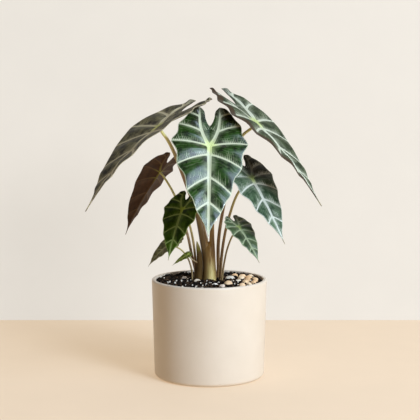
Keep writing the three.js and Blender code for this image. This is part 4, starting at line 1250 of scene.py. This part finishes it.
PURPLE_UNDER = under_skin("purple_leaf_underside", "#5c3e26", "#241508", "#6b5130", "#9a9640")
UPPER_SKINS = {
    "front": upper_skin("deep_green_leaf_skin", "#2b4a15", "#111e06", "#c8caa6", "#d9e295", 0.26, 1.55),
    "right_high": upper_skin(
        "silvery_green_leaf_skin", "#414b2e", "#242d18", "#c2c2a8", "#b9c27b", 0.6, 1.2, wide=1.3,
        curled_side=-1,
    ),
    "left_high": upper_skin(
        "bronze_green_leaf_skin", "#5f5837", "#1f1b10", "#b9ac88", "#a8a459", 0.55, 1.2, 0.8, wide=1.3
    ),
    # On this blade the painted shade reaches further in and falls on the half turned from the light.
    "right_mid": upper_skin(
        "blue_green_leaf_skin", "#566b4d", "#2a3f28", "#ced0be", "#b9ca73", 0.5, 1.2, 1.7, painted_shade_from=3.6,
        painted_shade_side=1,
    ),
    "left_mid": upper_skin(
        "dull_green_leaf_skin", "#4f3a22", "#1f150b", "#544328", "#7d793b", 0.5, 1.2, 0.4
    ),
    "left_low": upper_skin(
        "bottle_green_leaf_skin", "#3f5c05", "#1f3403", "#93a85f", "#a5bb46", 0.5, 1.15, 0.5
    ),
    "right_low": upper_skin(
        "mid_green_leaf_skin", "#3b5128", "#1c2c14", "#98a37d", "#8fa159", 0.42, 1.45
    ),
    "left_back": upper_skin(
        "shaded_green_leaf_skin", "#6f683b", "#3f3c1f", "#8a8258", "#7d7a37", 0.5, 1.3, 0.5
    ),
    "left_tiny": upper_skin(
        "young_olive_leaf_skin", "#4d5208", "#333805", "#7c7d3b", "#9aa446", 0.4, 1.3, 0.4
    ),
}
for name, blade in BLADES.items():
    piece = grown_blade("leaf_blade_" + name, blade, UPPER_SKINS[name], PURPLE_UNDER)
    on_body(piece, "leaf_olive" if name == "left_tiny" else "leaf_green", "blade_" + name)

# The room: a plain pale floor that meets a plain cream wall behind the pot. Daylight comes in softly
# from a tall window at the right, and the floor and the wall give back a warm light of their own.
FLOOR_FRONT = -3
FLOOR_BACK = 326 * MM
FLOOR_SIDE = 3
WALL_HEIGHT = 3


def plain_paper(name, colour, glow):
    material, tree, place = new_material(name, 0.8)
    shader = tree.nodes["Principled BSDF"]
    fibre = add_node(tree, "ShaderNodeTexNoise", {"Vector": place, "Scale": 1 / (60 * MM), "Detail": 2})
    shade = add_node(tree, "ShaderNodeMapRange", {"Value": fibre, "To Min": 0.98, "To Max": 1.02})
    for shown, socket in ((colour, "Base Color"), (glow, "Emission Color")):
        even = add_node(
            tree, "ShaderNodeVectorMath", {0: linear(shown)[:3], "Scale": shade}, operation="SCALE"
        )
        tree.links.new(even.outputs[0], shader.inputs[socket])
    shader.inputs["Emission Strength"].default_value = 1
    return material


def stage_sheet(name, corners, material):
    mesh = bpy.data.meshes.new(name)
    mesh.from_pydata(corners, [], [(0, 1, 2, 3)])
    mesh.materials.append(material)
    sheet = in_scene(name, mesh)
    sheet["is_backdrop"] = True


stage_sheet(
    "floor",
    [(-FLOOR_SIDE, FLOOR_FRONT, 0), (FLOOR_SIDE, FLOOR_FRONT, 0), (FLOOR_SIDE, FLOOR_BACK, 0),
     (-FLOOR_SIDE, FLOOR_BACK, 0)],
    plain_paper("pale_warm_floor", "#aa9b88", "#b5a085"),
)
stage_sheet(
    "backdrop",
    [(-FLOOR_SIDE, FLOOR_BACK, 0), (FLOOR_SIDE, FLOOR_BACK, 0), (FLOOR_SIDE, FLOOR_BACK, WALL_HEIGHT),
     (-FLOOR_SIDE, FLOOR_BACK, WALL_HEIGHT)],
    plain_paper("cream_wall", "#7c7061", "#cfccc5"),
)


def soft_lamp(name, place, target, size, power, colour):
    lamp = bpy.data.lights.new(name, "AREA")
    lamp.shape, lamp.size, lamp.energy, lamp.color = "DISK", size, power, linear(colour)[:3]
    holder = in_scene(name, lamp)
    holder.location = place
    holder.rotation_euler = (Vector(target) - Vector(place)).to_track_quat("-Z", "Y").to_euler()


soft_lamp("window_high", (2.2, -1.95, 3.2), (0, 0, 0.2), 2.5, 102, "#d2e6ff")
soft_lamp("window_low", (1.5, -1.9, 1.1), (0, 0, 0.2), 0.9, 77, "#d5e7ff")
world = bpy.data.worlds.new("room")
world.use_nodes = True
world.node_tree.nodes["Background"].inputs["Color"].default_value = linear("#ffc8a8")
world.node_tree.nodes["Background"].inputs["Strength"].default_value = 0.04
scene.world = world
scene.view_settings.view_transform = "Standard"

# The camera stands 1.4 m in front, a little above the leaves, with a 100 mm lens, tilted a little down.
TILT = 6.27
camera_data = bpy.data.cameras.new("camera")
camera_data.lens, camera_data.sensor_width = 100, 36
camera = in_scene("camera", camera_data)
camera.location = (0.85 * MM, -1404 * MM, 357 * MM)
camera.rotation_euler = (math.radians(90 - TILT), 0, 0)
scene.camera = camera

boxes = {"cad": cad_box, "visual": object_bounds()}
{name: [list(corner) for corner in box] for name, box in boxes.items()}
